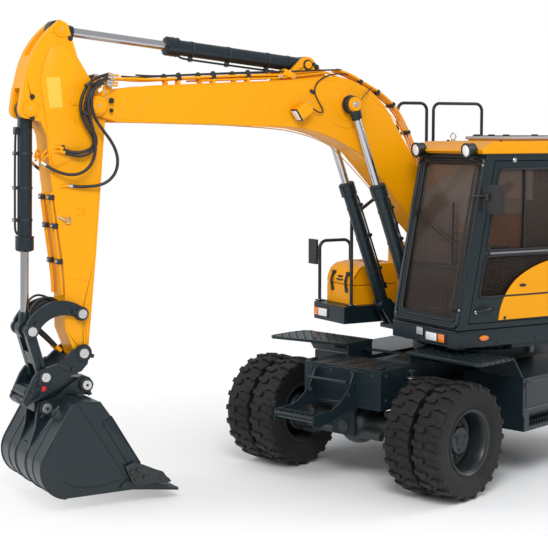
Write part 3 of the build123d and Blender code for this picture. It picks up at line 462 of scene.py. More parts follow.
def spunFrom(profile, steps, closed=True):
    # a (y, radius) outline turned about the Y axis
    letGo()
    bpy.ops.mesh.primitive_circle_add(vertices=len(profile), radius=1, fill_type="NOTHING")
    piece = bpy.context.object
    for vertex, (across, radius) in zip(piece.data.vertices, profile):
        vertex.co = (0, across, radius)
    bpy.ops.object.mode_set(mode="EDIT")
    if not closed:
        bpy.ops.mesh.select_all(action="DESELECT")
        bpy.ops.object.mode_set(mode="OBJECT")
        last = len(profile) - 1
        for edge in piece.data.edges:
            edge.select = set(edge.vertices) == {0, last}
        bpy.ops.object.mode_set(mode="EDIT")
        bpy.ops.mesh.select_mode(type="EDGE")
        bpy.ops.mesh.delete(type="EDGE")
        bpy.ops.mesh.select_mode(type="VERT")
    bpy.ops.mesh.select_all(action="SELECT")
    bpy.ops.mesh.spin(steps=steps, angle=math.tau, center=(0, 0, 0), axis=(0, 1, 0))
    bpy.ops.mesh.select_all(action="SELECT")
    bpy.ops.mesh.remove_doubles(threshold=0.00005)
    bpy.ops.mesh.normals_make_consistent(inside=False)
    bpy.ops.object.mode_set(mode="OBJECT")
    return piece


def boltHead(radius, height, sides=6):
    # a bolt head on the Z axis with a washer under it
    letGo()
    bpy.ops.mesh.primitive_cylinder_add(vertices=sides, radius=radius, depth=height, location=(0, 0, height * 0.62))
    head = bpy.context.object
    bpy.ops.object.transform_apply(location=True, rotation=False, scale=False)
    bevelled(head, radius * 0.12, 1, 30)
    bpy.ops.mesh.primitive_cylinder_add(vertices=16, radius=radius * 1.35, depth=height * 0.3,
        location=(0, 0, height * 0.1))
    washer = bpy.context.object
    bpy.ops.object.transform_apply(location=True, rotation=False, scale=False)
    bevelled(washer, radius * 0.06, 1, 30)
    return joined([head, washer])


def turnedTo(direction, place):
    # a matrix that stands a Z-axis piece on a place, facing a direction
    return Matrix.Translation(place) @ Vector(direction).to_track_quat("Z", "Y").to_matrix().to_4x4()


def repeated(piece, places):
    pieces = [copied(piece, place) for place in places]
    bpy.data.objects.remove(piece)
    return joined(pieces)


gathered = {}


def gather(piece, region, place, material, body):
    # small things of one finish on one body are joined into one piece at the end
    stand(piece, place)
    gathered.setdefault((region, material.name, body), []).append(piece)


def gatherAll(region, place, body, *rows):
    # several small things on one body: each row is a maker, a finish and what the maker needs
    for maker, material, *sizes in rows:
        gather(maker(*sizes), region, place, material, body)


def layHoses(hoses, radius, sides):
    # hoses laid along given points, on the left and mirrored to the right, that run between two bodies
    for name, points in hoses.items():
        for hand, turned in zip(("Left", "Right"), mirrored(armPlace)):
            hose = tubeAlong(points, radius, sides)
            stand(hose, turned)
            dress(hose, name + hand, hoseRubber, 40)
            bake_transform(hose)


def settleGathered(smooth=35):
    for (region, finishName, body), pieces in gathered.items():
        settle(joined(pieces), region + "_" + finishName, ground, bpy.data.materials[finishName], body,
            smooth)


def mirrored(place):
    return place, place @ Matrix.Diagonal((1, -1, 1, 1))


def turnedPiece(profile, at=(0, 0), steps=36):
    # a (y, radius) outline that starts and ends on the axis, turned and stood at an (x, z) place
    piece = spunFrom(profile, steps, closed=False)
    piece.data.transform(Matrix.Translation((at[0], 0, at[1])))
    return piece


def tubeAlong(points, radius, sides=3, fine=8):
    # a round tube that follows given points
    letGo()
    run = bpy.data.curves.new("tubeRun", "CURVE")
    run.dimensions = "3D"
    run.bevel_depth = radius
    run.bevel_resolution = sides
    run.resolution_u = fine
    run.use_fill_caps = True
    spline = run.splines.new("NURBS")
    spline.points.add(len(points) - 1)
    for spot, point in zip(spline.points, points):
        spot.co = (*point, 1)
    spline.order_u = 3
    spline.use_endpoint_u = True
    piece = bpy.data.objects.new("tubeRun", run)
    bpy.context.scene.collection.objects.link(piece)
    takeUp(piece)
    bpy.ops.object.convert(target="MESH")
    return bpy.context.object


def stepped(face, steps, edge=0.0015):
    # a stepped round end built outwards from a face: rows of (thickness, radius)
    rows = [(face - 0.002, 0.0), (face - 0.002, steps[0][1])]
    y = face
    for thickness, radius in steps:
        rows += [(y, radius), (y + thickness - edge, radius), (y + thickness, radius - edge)]
        y += thickness
    return rows + [(y, 0.0)]


def pinEnd(region, place, at, face, radius, body, collar=0.012, keeper=None, disc=None):
    # a dark collar, a bright pin end with a centre dimple, and a keeper plate with its bolt
    disc = disc or zincPin
    for turnedOver in mirrored(place):
        gather(turnedPiece(stepped(face, [(collar, radius * 1.42)]), at, 40), region, turnedOver, castIron, body)
        pin = [(face, 0.0), (face, radius), (face + collar + 0.01, radius),
            (face + collar + 0.013, radius - 0.003), (face + collar + 0.013, radius * 0.3),
            (face + collar + 0.008, radius * 0.22), (face + collar + 0.008, 0.0)]
        gather(turnedPiece(pin, at, 36), region, turnedOver, disc, body)
        if keeper is not None:
            away = Vector((math.cos(math.radians(keeper)), 0, math.sin(math.radians(keeper))))
            spot = Vector((at[0], face + collar * 0.5, at[1])) + away * radius * 1.75
            lug = block((-radius * 0.75, 0, -radius * 0.42), (radius * 0.55, 0.012, radius * 0.42), 0.003)
            turn = Matrix.Translation(spot) @ Matrix.Rotation(-math.radians(keeper), 4, "Y")
            gather(lug, region, turnedOver @ turn, castIron, body)
            head = boltHead(radius * 0.26, 0.009)
            gather(head, region, turnedOver @ turnedTo((0, 1, 0), spot + Vector((0, 0.012, 0))), castIron, body)


def boltRow(region, place, spots, direction, radius, material, body, height=None):
    head = boltHead(radius, height or radius * 0.9)
    row = repeated(head, [turnedTo(direction, spot) for spot in spots])
    gather(row, region, place, material, body)


def spread(first, last, count):
    # evenly spaced numbers
    return [first + (last - first) * number / (count - 1) for number in range(count)]


def turnsOf(count, start=0):
    # evenly spaced angles round a full turn
    return [start + math.tau * number / count for number in range(count)]


def ovalOf(middle, across, high, count, slant=0):
    # an oval of (x, z) points, slanted by letting its height fall with x
    return [(middle[0] + across * math.cos(turn), middle[1] + high * math.sin(turn) - slant * math.cos(turn))
        for turn in turnsOf(count)]


def atSide(run, y):
    # a run of (x, z) points set out to one side
    return [(x, y, z) for x, z in run]


def sideLoop(outline, y):
    return atSide(outline + outline[:1], y)


def turnedAbout(place, spot, degrees, axis):
    return place @ Matrix.Translation(spot) @ Matrix.Rotation(math.radians(degrees), 4, axis)


def softened(node, material, width=0.004, segments=2, angle=35, smooth=30):
    # a copy of a solid's own shape, merged and given rounded edges, which then stands for it
    piece = frame["nodes"][node].copy()
    piece.data = frame["nodes"][node].data.copy()
    for key in list(piece.keys()):
        del piece[key]
    piece.parent = None
    bpy.context.scene.collection.objects.link(piece)
    takeUp(piece)
    bpy.ops.object.mode_set(mode="EDIT")
    bpy.ops.mesh.select_all(action="SELECT")
    bpy.ops.mesh.remove_doubles(threshold=0.0001)
    bpy.ops.object.mode_set(mode="OBJECT")
    if width:
        bevelled(piece, width, segments, angle)
    settle(piece, node + "_form", ground, material, bodyOf[node], smooth)
    evened(piece)
    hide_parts(node)
    return piece


# every solid gets its finish, and most get rounded edges
nodeFinish = {"boom": (yellowPaint, 0.006), "arm": (yellowPaint, 0.006), "boom_lamp": (yellowPaint, 0.004),
    "door_cover": (yellowPaint, 0.0015), "tank_housing": (yellowPaint, 0.008),
    "engine_housing": (yellowPaint, 0.004), "engine_hood": (yellowPaint, 0.005),
    "toolbox_lid": (yellowPaint, 0.006), "tool_box": (yellowPaint, 0.004), "cab_roof": (yellowPaint, 0.008),
    "boom_pipes": (yellowPaint, 0), "chassis_frame": (darkPaint, 0.004), "front_step_box": (darkPaint, 0.003),
    "decks": (darkPaint, 0.002), "side_toolboxes": (darkPaint, 0.005), "rear_beam": (darkPaint, 0.004),
    "drive_train": (darkPaint, 0.006), "front_axle": (castIron, 0.003), "rear_axle": (castIron, 0.003),
    "knuckle_left": (castIron, 0.003), "knuckle_right": (castIron, 0.003), "upper_frame": (darkPaint, 0.003),
    "counterweight": (darkPaint, 0.008), "right_platform": (darkPaint, 0.004), "handrails": (darkPaint, 0),
    "cab_grab_rail": (blackPaint, 0), "exhaust_stack": (steelPlate, 0), "cab_base": (darkPaint, 0.004),
    "cab_shell": (darkPaint, 0.006), "cab_door": (darkPaint, 0.003), "boom_cylinder_barrels": (darkPaint, 0.002),
    "arm_cylinder_barrel": (darkPaint, 0.002), "bucket_cylinder_barrel": (darkPaint, 0.002),
    "guide_links": (darkPaint, 0.003), "bucket_link": (darkPaint, 0.003), "quick_coupler": (darkPaint, 0.003),
    "bucket": (darkPaint, 0.003), "slew_ring": (castIron, 0.003), "engine_block": (castIron, 0.01),
    "boom_cylinder_rods": (chromeRod, 0), "arm_cylinder_rod": (chromeRod, 0),
    "bucket_cylinder_rod": (chromeRod, 0), "cab_glass": (tintedGlass, 0), "door_glass": (doorGlass, 0),
    "mirrors": (blackPlastic, 0.004), "work_lamps": (blackPlastic, 0.004), "controls": (blackPlastic, 0.01),
    "seat": (seatCloth, 0.03)}
for node, (material, width) in nodeFinish.items():
    if width:
        softened(node, material, width)
    else:
        frame["nodes"][node].data.materials.clear()
        frame["nodes"][node].data.materials.append(material)
print("solids dressed")


# tyres: a carcass, and two rows of S-shaped lugs half a pitch apart
tyre = {"radius": 0.518, "tread": 0.496, "half": 0.135, "lugs": 23, "depth": 0.022}
rearAxleX = joints["roll_rear_left"]["pos_m"][0]
frontAxleX = joints["roll_front_left"]["pos_m"][0]
axleHeight = joints["roll_rear_left"]["pos_m"][2]
innerWheelY = 0.802
outerWheelY = 1.111


def treadPoint(across):
    # where a distance across the tread lands on the carcass: (y, radius) and the outward direction
    if across <= 0.118:
        crown = tyre["tread"] - (tyre["tread"] - 0.486) * (across / 0.118) ** 2
        return Vector((across, crown)), Vector((0, 1))
    past = min((across - 0.118) / 0.022, 1.0)
    turn = past * math.pi / 2
    point = Vector((0.118 + 0.014 * math.sin(turn), 0.472 + 0.014 * math.cos(turn)))
    return point - Vector((0, max(0, across - 0.14))), Vector((math.sin(turn), math.cos(turn)))


def makeLug():
    outline = [(-30, 12), (-37, 36), (-36, 62), (-26, 82), (-17, 100), (-14, 120), (-13, 136), (-11, 164),
        (33, 164), (38, 136), (39, 120), (35, 100), (26, 80), (22, 62), (26, 44), (33, 28), (26, 10), (8, 3)]
    piece = plateFrom([(around / 1000, across / 1000) for around, across in outline], 0, 1, along="Z")
    takeUp(piece)
    bpy.ops.object.mode_set(mode="EDIT")
    for across in (0.118, 0.128, 0.14, 0.152):
        bpy.ops.mesh.select_all(action="SELECT")
        bpy.ops.mesh.bisect(plane_co=(0, across, 0), plane_no=(0, 1, 0))
    bpy.ops.object.mode_set(mode="OBJECT")
    centre = (0.003, 0.075)
    for vertex in piece.data.vertices:
        around, across, lift = vertex.co
        raised = lift > 0.5
        if raised:
            around = centre[0] + (around - centre[0]) * 0.9
            across = centre[1] + (across - centre[1]) * 0.975
        point, outward = treadPoint(across)
        fade = max(0.0, min(1.0, (0.166 - across) / 0.04))
        height = (tyre["depth"] * (0.25 + 0.75 * fade)) if raised else -0.012
        if across > 0.13:
            height = height if not raised else 0.0035 + 0.008 * fade
        spot = point + outward * height
        angle = around / tyre["radius"]
        vertex.co = (spot.y * math.sin(angle), min(spot.x, tyre["half"]),
            min(spot.y, tyre["radius"]) * math.cos(angle))
    takeUp(piece)
    bpy.ops.object.mode_set(mode="EDIT")
    bpy.ops.mesh.select_all(action="SELECT")
    bpy.ops.mesh.normals_make_consistent(inside=False)
    bpy.ops.object.mode_set(mode="OBJECT")
    bevelled(piece, 0.002, 1, 40)
    return piece


def makeTyre():
    half = [(0.0, 0.496), (0.06, 0.4935), (0.118, 0.486), (0.128, 0.481), (0.132, 0.472), (0.1335, 0.445),
        (0.1345, 0.44), (0.1345, 0.434), (0.1335, 0.43), (0.134, 0.4), (0.1315, 0.362), (0.126, 0.33),
        (0.1235, 0.326), (0.1235, 0.32), (0.124, 0.316), (0.119, 0.3), (0.112, 0.29), (0.112, 0.262)]
    profile = [(-across, radius) for across, radius in reversed(half[1:])] + half
    carcass = spunFrom(profile, 96)
    lug = makeLug()
    pitch = math.tau / tyre["lugs"]
    places = []
    for number in range(tyre["lugs"]):
        places.append(Matrix.Rotation(number * pitch, 4, "Y"))
        places.append(Matrix.Rotation((number + 0.5) * pitch, 4, "Y") @ Matrix.Diagonal((-1, -1, 1, 1)))
    lugs = repeated(lug, places)
    return joined([carcass, lugs])


corners = [("front_left", frontAxleX, 1), ("front_right", frontAxleX, -1), ("rear_left", rearAxleX, 1),
    ("rear_right", rearAxleX, -1)]
oneTyre = makeTyre()
for corner, x, side in corners:
    twins = []
    for number, y in enumerate((innerWheelY, outerWheelY)):
        turn = Matrix.Rotation(0.07 + 0.11 * number + 0.05 * x, 4, "Y")
        twins.append(copied(oneTyre, Matrix.Translation((x, side * y, axleHeight)) @ turn))
    pair = joined(twins)
    settle(pair, "tyres_" + corner + "_tread", ground, tyreRubber, "wheels_" + corner, 38)
    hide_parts("tyres_" + corner)
bpy.data.objects.remove(oneTyre)
print("tyres made")


# wheels: two rims on a drum, with the hub cap, wheel nuts and valves
def makeWheels():
    pieces = []
    for y, face in ((outerWheelY, 1), (innerWheelY, -1)):
        rim = [(0.124, 0.29), (0.124, 0.284), (0.117, 0.279), (0.114, 0.268), (0.108, 0.262), (0.1, 0.255),
            (0.045, 0.246), (-0.045, 0.24), (-0.092, 0.247), (-0.112, 0.262), (-0.116, 0.28), (-0.124, 0.284),
            (-0.124, 0.291), (-0.113, 0.292), (-0.108, 0.268), (-0.09, 0.262), (0.09, 0.266), (0.108, 0.27),
            (0.113, 0.292)]
        pieces.append(spunFrom([(y + face * across, radius) for across, radius in rim], 72))
        disc = [(-0.108, 0.246), (-0.06, 0.238), (-0.085, 0.215), (-0.104, 0.17), (-0.112, 0.17), (-0.095, 0.218),
            (-0.072, 0.243), (-0.118, 0.247)]
        pieces.append(spunFrom([(y + face * across, radius) for across, radius in disc], 72))
    drum = [(0.713, 0.0), (0.713, 0.165), (0.722, 0.175), (1.07, 0.175), (1.086, 0.165), (1.09, 0.15),
        (1.09, 0.124), (1.121, 0.121), (1.129, 0.114), (1.13, 0.05), (1.127, 0.046), (1.127, 0.0)]
    pieces.append(spunFrom(drum, 64, closed=False))
    nut = boltHead(0.013, 0.018)
    places = [turnedTo((0, 1, 0), (0.146 * math.sin(turn), 1.089, 0.146 * math.cos(turn))) for turn in turnsOf(10)]
    pieces.append(repeated(nut, places))
    plug = boltHead(0.011, 0.01)
    places = [turnedTo((0, 1, 0), (0.075 * math.sin(turn), 1.129, 0.075 * math.cos(turn)))
        for turn in turnsOf(3, 0.4)]
    pieces.append(repeated(plug, places))
    return joined(pieces)


leftWheels = makeWheels()
for corner, x, side in corners:
    turned = Matrix.Rotation(0.3 * x, 4, "Y")    # the four pairs stand at different turns
    place = Matrix.Translation((x, 0, axleHeight)) @ turned @ Matrix.Diagonal((1, side, 1, 1))
    wheels = copied(leftWheels, place)
    settle(wheels, "wheels_" + corner + "_rims", ground, wheelPaint, "wheels_" + corner, 40)
    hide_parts("wheels_" + corner)
bpy.data.objects.remove(leftWheels)
print("wheels made")


# boom: weld seams, doublers, pin ends, pipes, black line with its clips, lamp
boomDetail = {"side": 0.165, "bead": 0.0035, "mount": (2.12, 1.0), "ram": 0.27, "lamp": (2.58, 0.748)}
for place in mirrored(boomPlace):
    side = boomDetail["side"]
    for first, last in (((2.831, 0.907), (2.872, 0.53)), ((2.857, 0.9), (2.9, 0.52)), ((0.56, 0.395), (0.72, 0.3)),
            ((3.985, 0.318), (4.055, 0.075))):
        seam = tubeAlong([(first[0], side, first[1]), (last[0], side, last[1])], boomDetail["bead"], 2)
        gather(seam, "boomSeams", place, yellowPaint, "boom")
    for radius, height in ((0.222, 0.006), (0.15, 0.01)):
        doubler = [(side - 0.002, 0.0), (side - 0.002, radius), (side + height - 0.004, radius),
            (side + height, radius - 0.004), (side + height, 0.0)]
        gather(turnedPiece(doubler, boomDetail["mount"], 72), "boomSeams", place, yellowPaint, "boom")
    foot = [(side + 0.008, 0.0), (side + 0.008, 0.118), (side + 0.014, 0.114), (side + 0.014, 0.0)]
    gather(turnedPiece(foot, (0, 0), 56), "boomSeams", place, yellowPaint, "boom")
    # lip of the bottom and top plates past the side plates
    for run in ([(0.1, -0.085), (1.785, 0.64), (2.16, 0.662), (2.7, 0.545), (3.955, 0.058)],
            [(0.02, 0.15), (1.155, 0.79), (1.48, 1.05), (1.72, 1.145), (2.09, 1.225), (2.52, 1.09), (2.87, 0.91),
            (4.045, 0.345)]):
        rim = tubeAlong(atSide(run, side - 0.001), 0.0045, 2)
        gather(rim, "boomSeams", place, yellowPaint, "boom")
pinEnd("boomTop", boomPlace, (2.63, 1.18), 0.12, 0.034, "boom", 0.01, 150, disc=yellowPaint)
for place in mirrored(boomPlace):
    plug = stepped(0.12, [(0.012, 0.024), (0.008, 0.016)])
    gather(turnedPiece(plug, (2.536, 1.2), 24), "boomTop", place, blackPlastic, "boom")

# yellow cap on the eye of each boom cylinder, over its dark collar
for place in mirrored(boomPlace):
    outer = boomDetail["ram"] + 0.036
    gatherAll("ramEyes", place, "boom_rods",
        (turnedPiece, castIron, stepped(boomDetail["ram"] - 0.034 - 0.012, [(0.014, 0.088)]), boomDetail["mount"],
            40),
        (turnedPiece, yellowPaint, stepped(outer, [(0.01, 0.07), (0.016, 0.062)], 0.004), boomDetail["mount"], 48),
        (turnedPiece, zincPin, stepped(outer + 0.024, [(0.004, 0.03), (0.005, 0.02), (0.006, 0.011)]),
            boomDetail["mount"], 28))
    boltRow("ramEyes", place, [(2.12 + 0.047 * math.cos(turn), outer + 0.023, 1.0 + 0.047 * math.sin(turn))
        for turn in (0.6, 2.7, 4.8)], (0, 1, 0), 0.007, yellowPaint, "boom_rods")

# pipes that climb the back of the boom and run along its top, with clips
climb = [(0.36, 0.44), (0.8, 0.7), (1.17, 0.885), (1.4, 1.09), (1.6, 1.215), (1.8, 1.262), (2.02, 1.272),
    (2.2, 1.285), (2.34, 1.262)]
for number, y in enumerate((0.148, 0.112, 0.076, -0.148, -0.112, -0.076)):
    run = tubeAlong([(x, y, z - 0.008 * (number % 3)) for x, z in climb], 0.0115, 3)
    gather(run, "boomPipes", boomPlace, yellowPaint, "boom")
for place in mirrored(boomPlace):
    for x, z, turn in ((0.62, 0.6, 30), (1.17, 0.885, 36), (1.35, 1.045, 40), (1.62, 1.222, 18), (1.83, 1.262, 4),
            (2.05, 1.272, 4)):
        clip = block((-0.016, 0.058, -0.04), (0.016, 0.166, 0.012), 0.004)
        gather(clip, "boomClips", turnedAbout(place, (x, 0, z), -turn, "Y"), blackPlastic, "boom")
        head = boltHead(0.008, 0.007)
        gather(head, "boomClips", place @ Matrix.Translation((x, 0.112, z + 0.01)), zincPin, "boom")
topLine = [(2.3, 1.262), (2.52, 1.16), (2.768, 1.038), (2.961, 0.95), (3.193, 0.842), (3.51, 0.69), (3.818, 0.54),
    (4.06, 0.42), (4.2, 0.372)]
for place in mirrored(boomPlace):
    gather(tubeAlong([(x, 0.156, z + 0.014) for x, z in topLine], 0.0075, 2), "boomLine", place, hoseRubber, "boom")
    for y, drop in ((0.158, 0.016), (0.13, 0.02), (0.106, 0.024)):
        run = [(2.79, y, 1.025 - drop)] + [(x, y, z - drop) for x, z in topLine[3:8]] + [(4.25, y, 0.335),
            (4.385, y, 0.268)]
        gather(tubeAlong(run, 0.0105, 3), "boomPipes", place, yellowPaint, "boom")
    for x, z in ((3.818, 0.54), (3.51, 0.69), (3.193, 0.842)):
        lean = Matrix.Translation((x, 0, z)) @ Matrix.Rotation(math.radians(25.6), 4, "Y")
        gather(block((-0.013, 0.094, -0.11), (0.013, 0.166, -0.03), 0.003), "boomTop", place @ lean, yellowPaint,
            "boom")
        clip = plateFrom([(-0.022, -0.034), (0.022, -0.034), (0.02, 0.012), (0.007, 0.034), (-0.007, 0.034),
            (-0.02, 0.012)], 0.128, 0.17, 0.003)
        gather(clip, "boomClips", place @ lean, blackPlastic, "boom")
    # pipe couplings where the hard pipes end behind the crest
    for y in (0.132, 0.152):
        for x, z in ((2.865, 0.962), (2.735, 1.01)):
            nut = boltHead(0.017, 0.03)
            nut.data.transform(Matrix.Rotation(math.radians(116), 4, "Y"))
            gather(nut, "boomTop", place @ Matrix.Translation((x, y, z)), zincPin, "boom")
    gather(block((2.74, 0.085, 0.985), (2.86, 0.172, 1.04), 0.006), "boomTop", place, yellowPaint, "boom")
    boltRow("boomTop", place, [(2.765, 0.11, 1.04), (2.835, 0.11, 1.04), (2.8, 0.15, 1.04)], (0, 0, 1), 0.009,
        zincPin, "boom")

# cable to the lamp, and a grease line to the pin
cable = [(2.2, 0.15, 1.272), (2.33, 0.172, 1.225), (2.442, 0.174, 1.15), (2.511, 0.174, 1.046),
    (2.497, 0.174, 0.963), (2.421, 0.176, 0.9), (2.335, 0.19, 0.838), (2.391, 0.205, 0.8), (2.47, 0.22, 0.806),
    (2.5, 0.225, 0.806)]
gatherAll("boomCable", boomPlace, "boom",
    (tubeAlong, hoseRubber, cable, 0.0065, 2),
    (block, blackPlastic, (2.485, 0.162, 0.945), (2.54, 0.182, 0.975), 0.004))
for place in mirrored(boomPlace):
    grease = [(2.075, 0.3, 1.05), (2.033, 0.25, 1.105), (1.96, 0.185, 1.205), (1.915, 0.16, 1.262)]
    gather(tubeAlong(grease, 0.0045, 1), "boomCable", place, hoseRubber, "boom")

# lamp: a rounded yellow housing, a black frame and a clear lens with a reflector
lampTurn = turnedAbout(boomPlace, (boomDetail["lamp"][0], 0.24, boomDetail["lamp"][1]), 146.6, "Y")
gatherAll("boomLamp", lampTurn, "boom",
    (block, blackPlastic, (-0.063, -0.055, 0.074), (0.063, 0.055, 0.09), 0.008, 3),
    (block, lampLens, (-0.05, -0.044, 0.086), (0.05, 0.044, 0.095), 0.004))
reflector = turnedPiece([(0.0905, 0.0), (0.0905, 0.03), (0.0925, 0.034), (0.0925, 0.0)], (0, 0), 24)
reflector.data.transform(Matrix.Rotation(math.radians(90), 4, "X"))
gather(reflector, "boomLamp", lampTurn, chromeRod, "boom")
boltRow("boomLamp", boomPlace, [(2.545, 0.2405, 0.835), (2.5, 0.24, 0.8)], (0, 1, 0), 0.009, zincPin, "boom")
print("boom fittings made")

# arm: doublers, pin ends, pressed branches, blank label, hoses and their clamps
armDetail = {"side": 0.135, "length": 2.115}
for place in mirrored(armPlace):
    side = armDetail["side"]
    branch = [(-0.502, 0.336), (-0.444, 0.434), (-0.276, 0.495), (-0.123, 0.504), (0.101, 0.447), (0.384, 0.395),
        (0.56, 0.345), (0.42, 0.12), (0.197, 0.087), (0.156, 0.183), (-0.013, 0.24), (-0.123, 0.195),
        (-0.309, 0.17), (-0.419, 0.218)]
    gather(plateFrom(branch, side - 0.002, side + 0.007, 0.003), "armPlates", place, yellowPaint, "arm")
    rim = sideLoop(branch, side + 0.006)
    gather(tubeAlong(rim, 0.0035, 2), "armPlates", place, yellowPaint, "arm")
    earPlate = [(-0.64, 0.3), (-0.56, 0.262), (-0.545, 0.33), (-0.575, 0.4), (-0.64, 0.398), (-0.672, 0.36)]
    gather(plateFrom(earPlate, side - 0.002, side + 0.006, 0.003), "armPlates", place, yellowPaint, "arm")
    for first, last in (((0.37, 0.4), (0.455, -0.05)), ((1.47, 0.16), (1.5, -0.06))):
        gather(tubeAlong([(first[0], side, first[1]), (last[0], side, last[1])], 0.003, 2), "armPlates", place,
            yellowPaint, "arm")
    for run in ([(0.29, 0.412), (0.64, 0.352), (1.46, 0.18), (1.92, 0.146)],
            [(0.15, -0.082), (1.265, -0.073), (2.05, -0.052)]):
        gather(tubeAlong(atSide(run, side - 0.001), 0.0045, 2), "armPlates", place, yellowPaint, "arm")
    tip = [(side - 0.002, 0.0), (side - 0.002, 0.06), (side + 0.005, 0.057), (side + 0.005, 0.0)]
    gatherAll("armPlates", place, "arm",
        (turnedPiece, yellowPaint, tip, (armDetail["length"], 0), 44),
        (turnedPiece, yellowPaint, [(side - 0.002, 0.0), (side - 0.002, 0.072), (side + 0.006, 0.068),
            (side + 0.006, 0.0)], (1.775, 0.035), 44))
for spot in ((-0.61, 0.35), (0.075, 0.58)):
    for place in mirrored(armPlace):
        gatherAll("armPins", place, "arm",
            (turnedPiece, yellowPaint, stepped(0.14, [(0.008, 0.066), (0.006, 0.046), (0.004, 0.026)]), spot, 44),
            (turnedPiece, zincPin, stepped(0.157, [(0.003, 0.009)]), spot, 20))
for place in mirrored(armPlace):
    for spot in ((-0.543, 0.265), (-0.027, 0.57), (0.15, 0.56)):
        gather(turnedPiece(stepped(0.134, [(0.01, 0.022), (0.006, 0.015)]), spot, 24), "armPins", place,
            blackPlastic, "arm")
# arm pivot between the boom's forks
for turned in mirrored(armPlace):
    gatherAll("boomTip", turned, "boom",
        (turnedPiece, yellowPaint, stepped(0.195, [(0.012, 0.07), (0.006, 0.056), (0.005, 0.032)]), (0, 0), 48),
        (turnedPiece, zincPin, stepped(0.217, [(0.003, 0.012)]), (0, 0), 24))
for place in mirrored(boomPlace):
    for spot, radius in (((4.34, 0.086), 0.024), ((4.31, 0.009), 0.018)):
        gather(turnedPiece(stepped(0.194, [(0.01, radius), (0.006, radius * 0.6)]), spot, 24), "boomTip", place,
            blackPlastic, "boom")
    # bracket with the fittings where the boom's pipes meet the hoses
    gather(plateFrom([(4.355, 0.06), (4.425, 0.06), (4.44, 0.18), (4.44, 0.305), (4.385, 0.315), (4.36, 0.24)],
        0.15, 0.158, 0.002), "boomTip", place, yellowPaint, "boom")
    for y, z in ((0.15, 0.288), (0.168, 0.258), (0.186, 0.221), (0.2, 0.194)):
        gather(tubeAlong([(4.33, y - 0.03, z + 0.035), (4.395, y - 0.008, z + 0.012), (4.425, y, z)], 0.0105, 3),
            "boomTip", place, yellowPaint, "boom")
        for x0, x1, radius in ((4.385, 4.412, 0.019), (4.416, 4.44, 0.016)):
            gather(tubeAlong([(x0, y - 0.005, z + 0.01), (x1, y, z)], radius, 2), "boomTip", place, zincPin, "boom")
    boltRow("boomTip", place, [(4.385, 0.158, 0.095), (4.4, 0.158, 0.14)], (0, 1, 0), 0.01, zincPin, "boom")
    for run in ([(4.193, 0.209), (4.082, 0.314)], [(4.193, 0.209), (4.248, -0.033)],
            [(4.248, -0.033), (3.973, 0.045)], [(4.011, 0.224), (3.96, 0.3)]):
        gather(tubeAlong(atSide(run, 0.165), 0.003, 2), "boomSeams", place, yellowPaint, "boom")

# blank label on the arm
label = plateFrom([(-0.194, 0.459), (-0.213, 0.339), (0.038, 0.298), (0.058, 0.414)], 0.1415, 0.1435, 0.0006, 1)
gather(label, "armLabel", armPlace, blankSticker, "arm")

# hoses over the arm's pivot, from the boom's pipes to the arm's pipes, in the arm's directions
armHoses = {"upperFirst": [(-0.275, 0.15, -0.087), (-0.249, 0.17, -0.007), (-0.2, 0.19, 0.082),
    (-0.117, 0.2, 0.138), (-0.028, 0.2, 0.165), (0.058, 0.2, 0.163), (0.151, 0.2, 0.121), (0.234, 0.2, 0.059),
    (0.3, 0.2, 0.022), (0.362, 0.2, 0.041), (0.4, 0.19, 0.11), (0.412, 0.18, 0.19), (0.399, 0.165, 0.262),
    (0.375, 0.155, 0.311)], "upperSecond": [(-0.245, 0.168, -0.083), (-0.218, 0.186, -0.014),
    (-0.172, 0.208, 0.066), (-0.09, 0.216, 0.108), (-0.011, 0.216, 0.13), (0.056, 0.216, 0.131),
    (0.14, 0.216, 0.096), (0.222, 0.216, 0.036), (0.295, 0.216, 0.006), (0.366, 0.216, 0.02), (0.418, 0.206, 0.08),
    (0.44, 0.19, 0.145), (0.426, 0.172, 0.232), (0.407, 0.157, 0.309)],
    "lowerFirst": [(-0.195, 0.2, -0.029), (-0.165, 0.22, 0.028), (-0.121, 0.234, 0.084), (-0.041, 0.238, 0.112),
    (0.036, 0.238, 0.11), (0.121, 0.238, 0.086), (0.214, 0.236, 0.05), (0.309, 0.234, 0.026), (0.406, 0.234, 0.02),
    (0.505, 0.232, 0.05), (0.575, 0.228, 0.12), (0.602, 0.218, 0.21), (0.59, 0.195, 0.306), (0.552, 0.16, 0.394),
    (0.513, 0.128, 0.451)], "lowerSecond": [(-0.221, 0.186, -0.036), (-0.19, 0.218, 0.018), (-0.129, 0.234, 0.07),
    (-0.04, 0.24, 0.088), (0.047, 0.24, 0.072), (0.129, 0.238, 0.03), (0.209, 0.236, -0.04), (0.28, 0.234, -0.11),
    (0.363, 0.232, -0.166), (0.455, 0.23, -0.195), (0.555, 0.226, -0.182), (0.63, 0.216, -0.127),
    (0.672, 0.2, -0.052), (0.69, 0.178, 0.054), (0.695, 0.16, 0.15), (0.69, 0.15, 0.208)]}
layHoses(armHoses, 0.0135, 4)
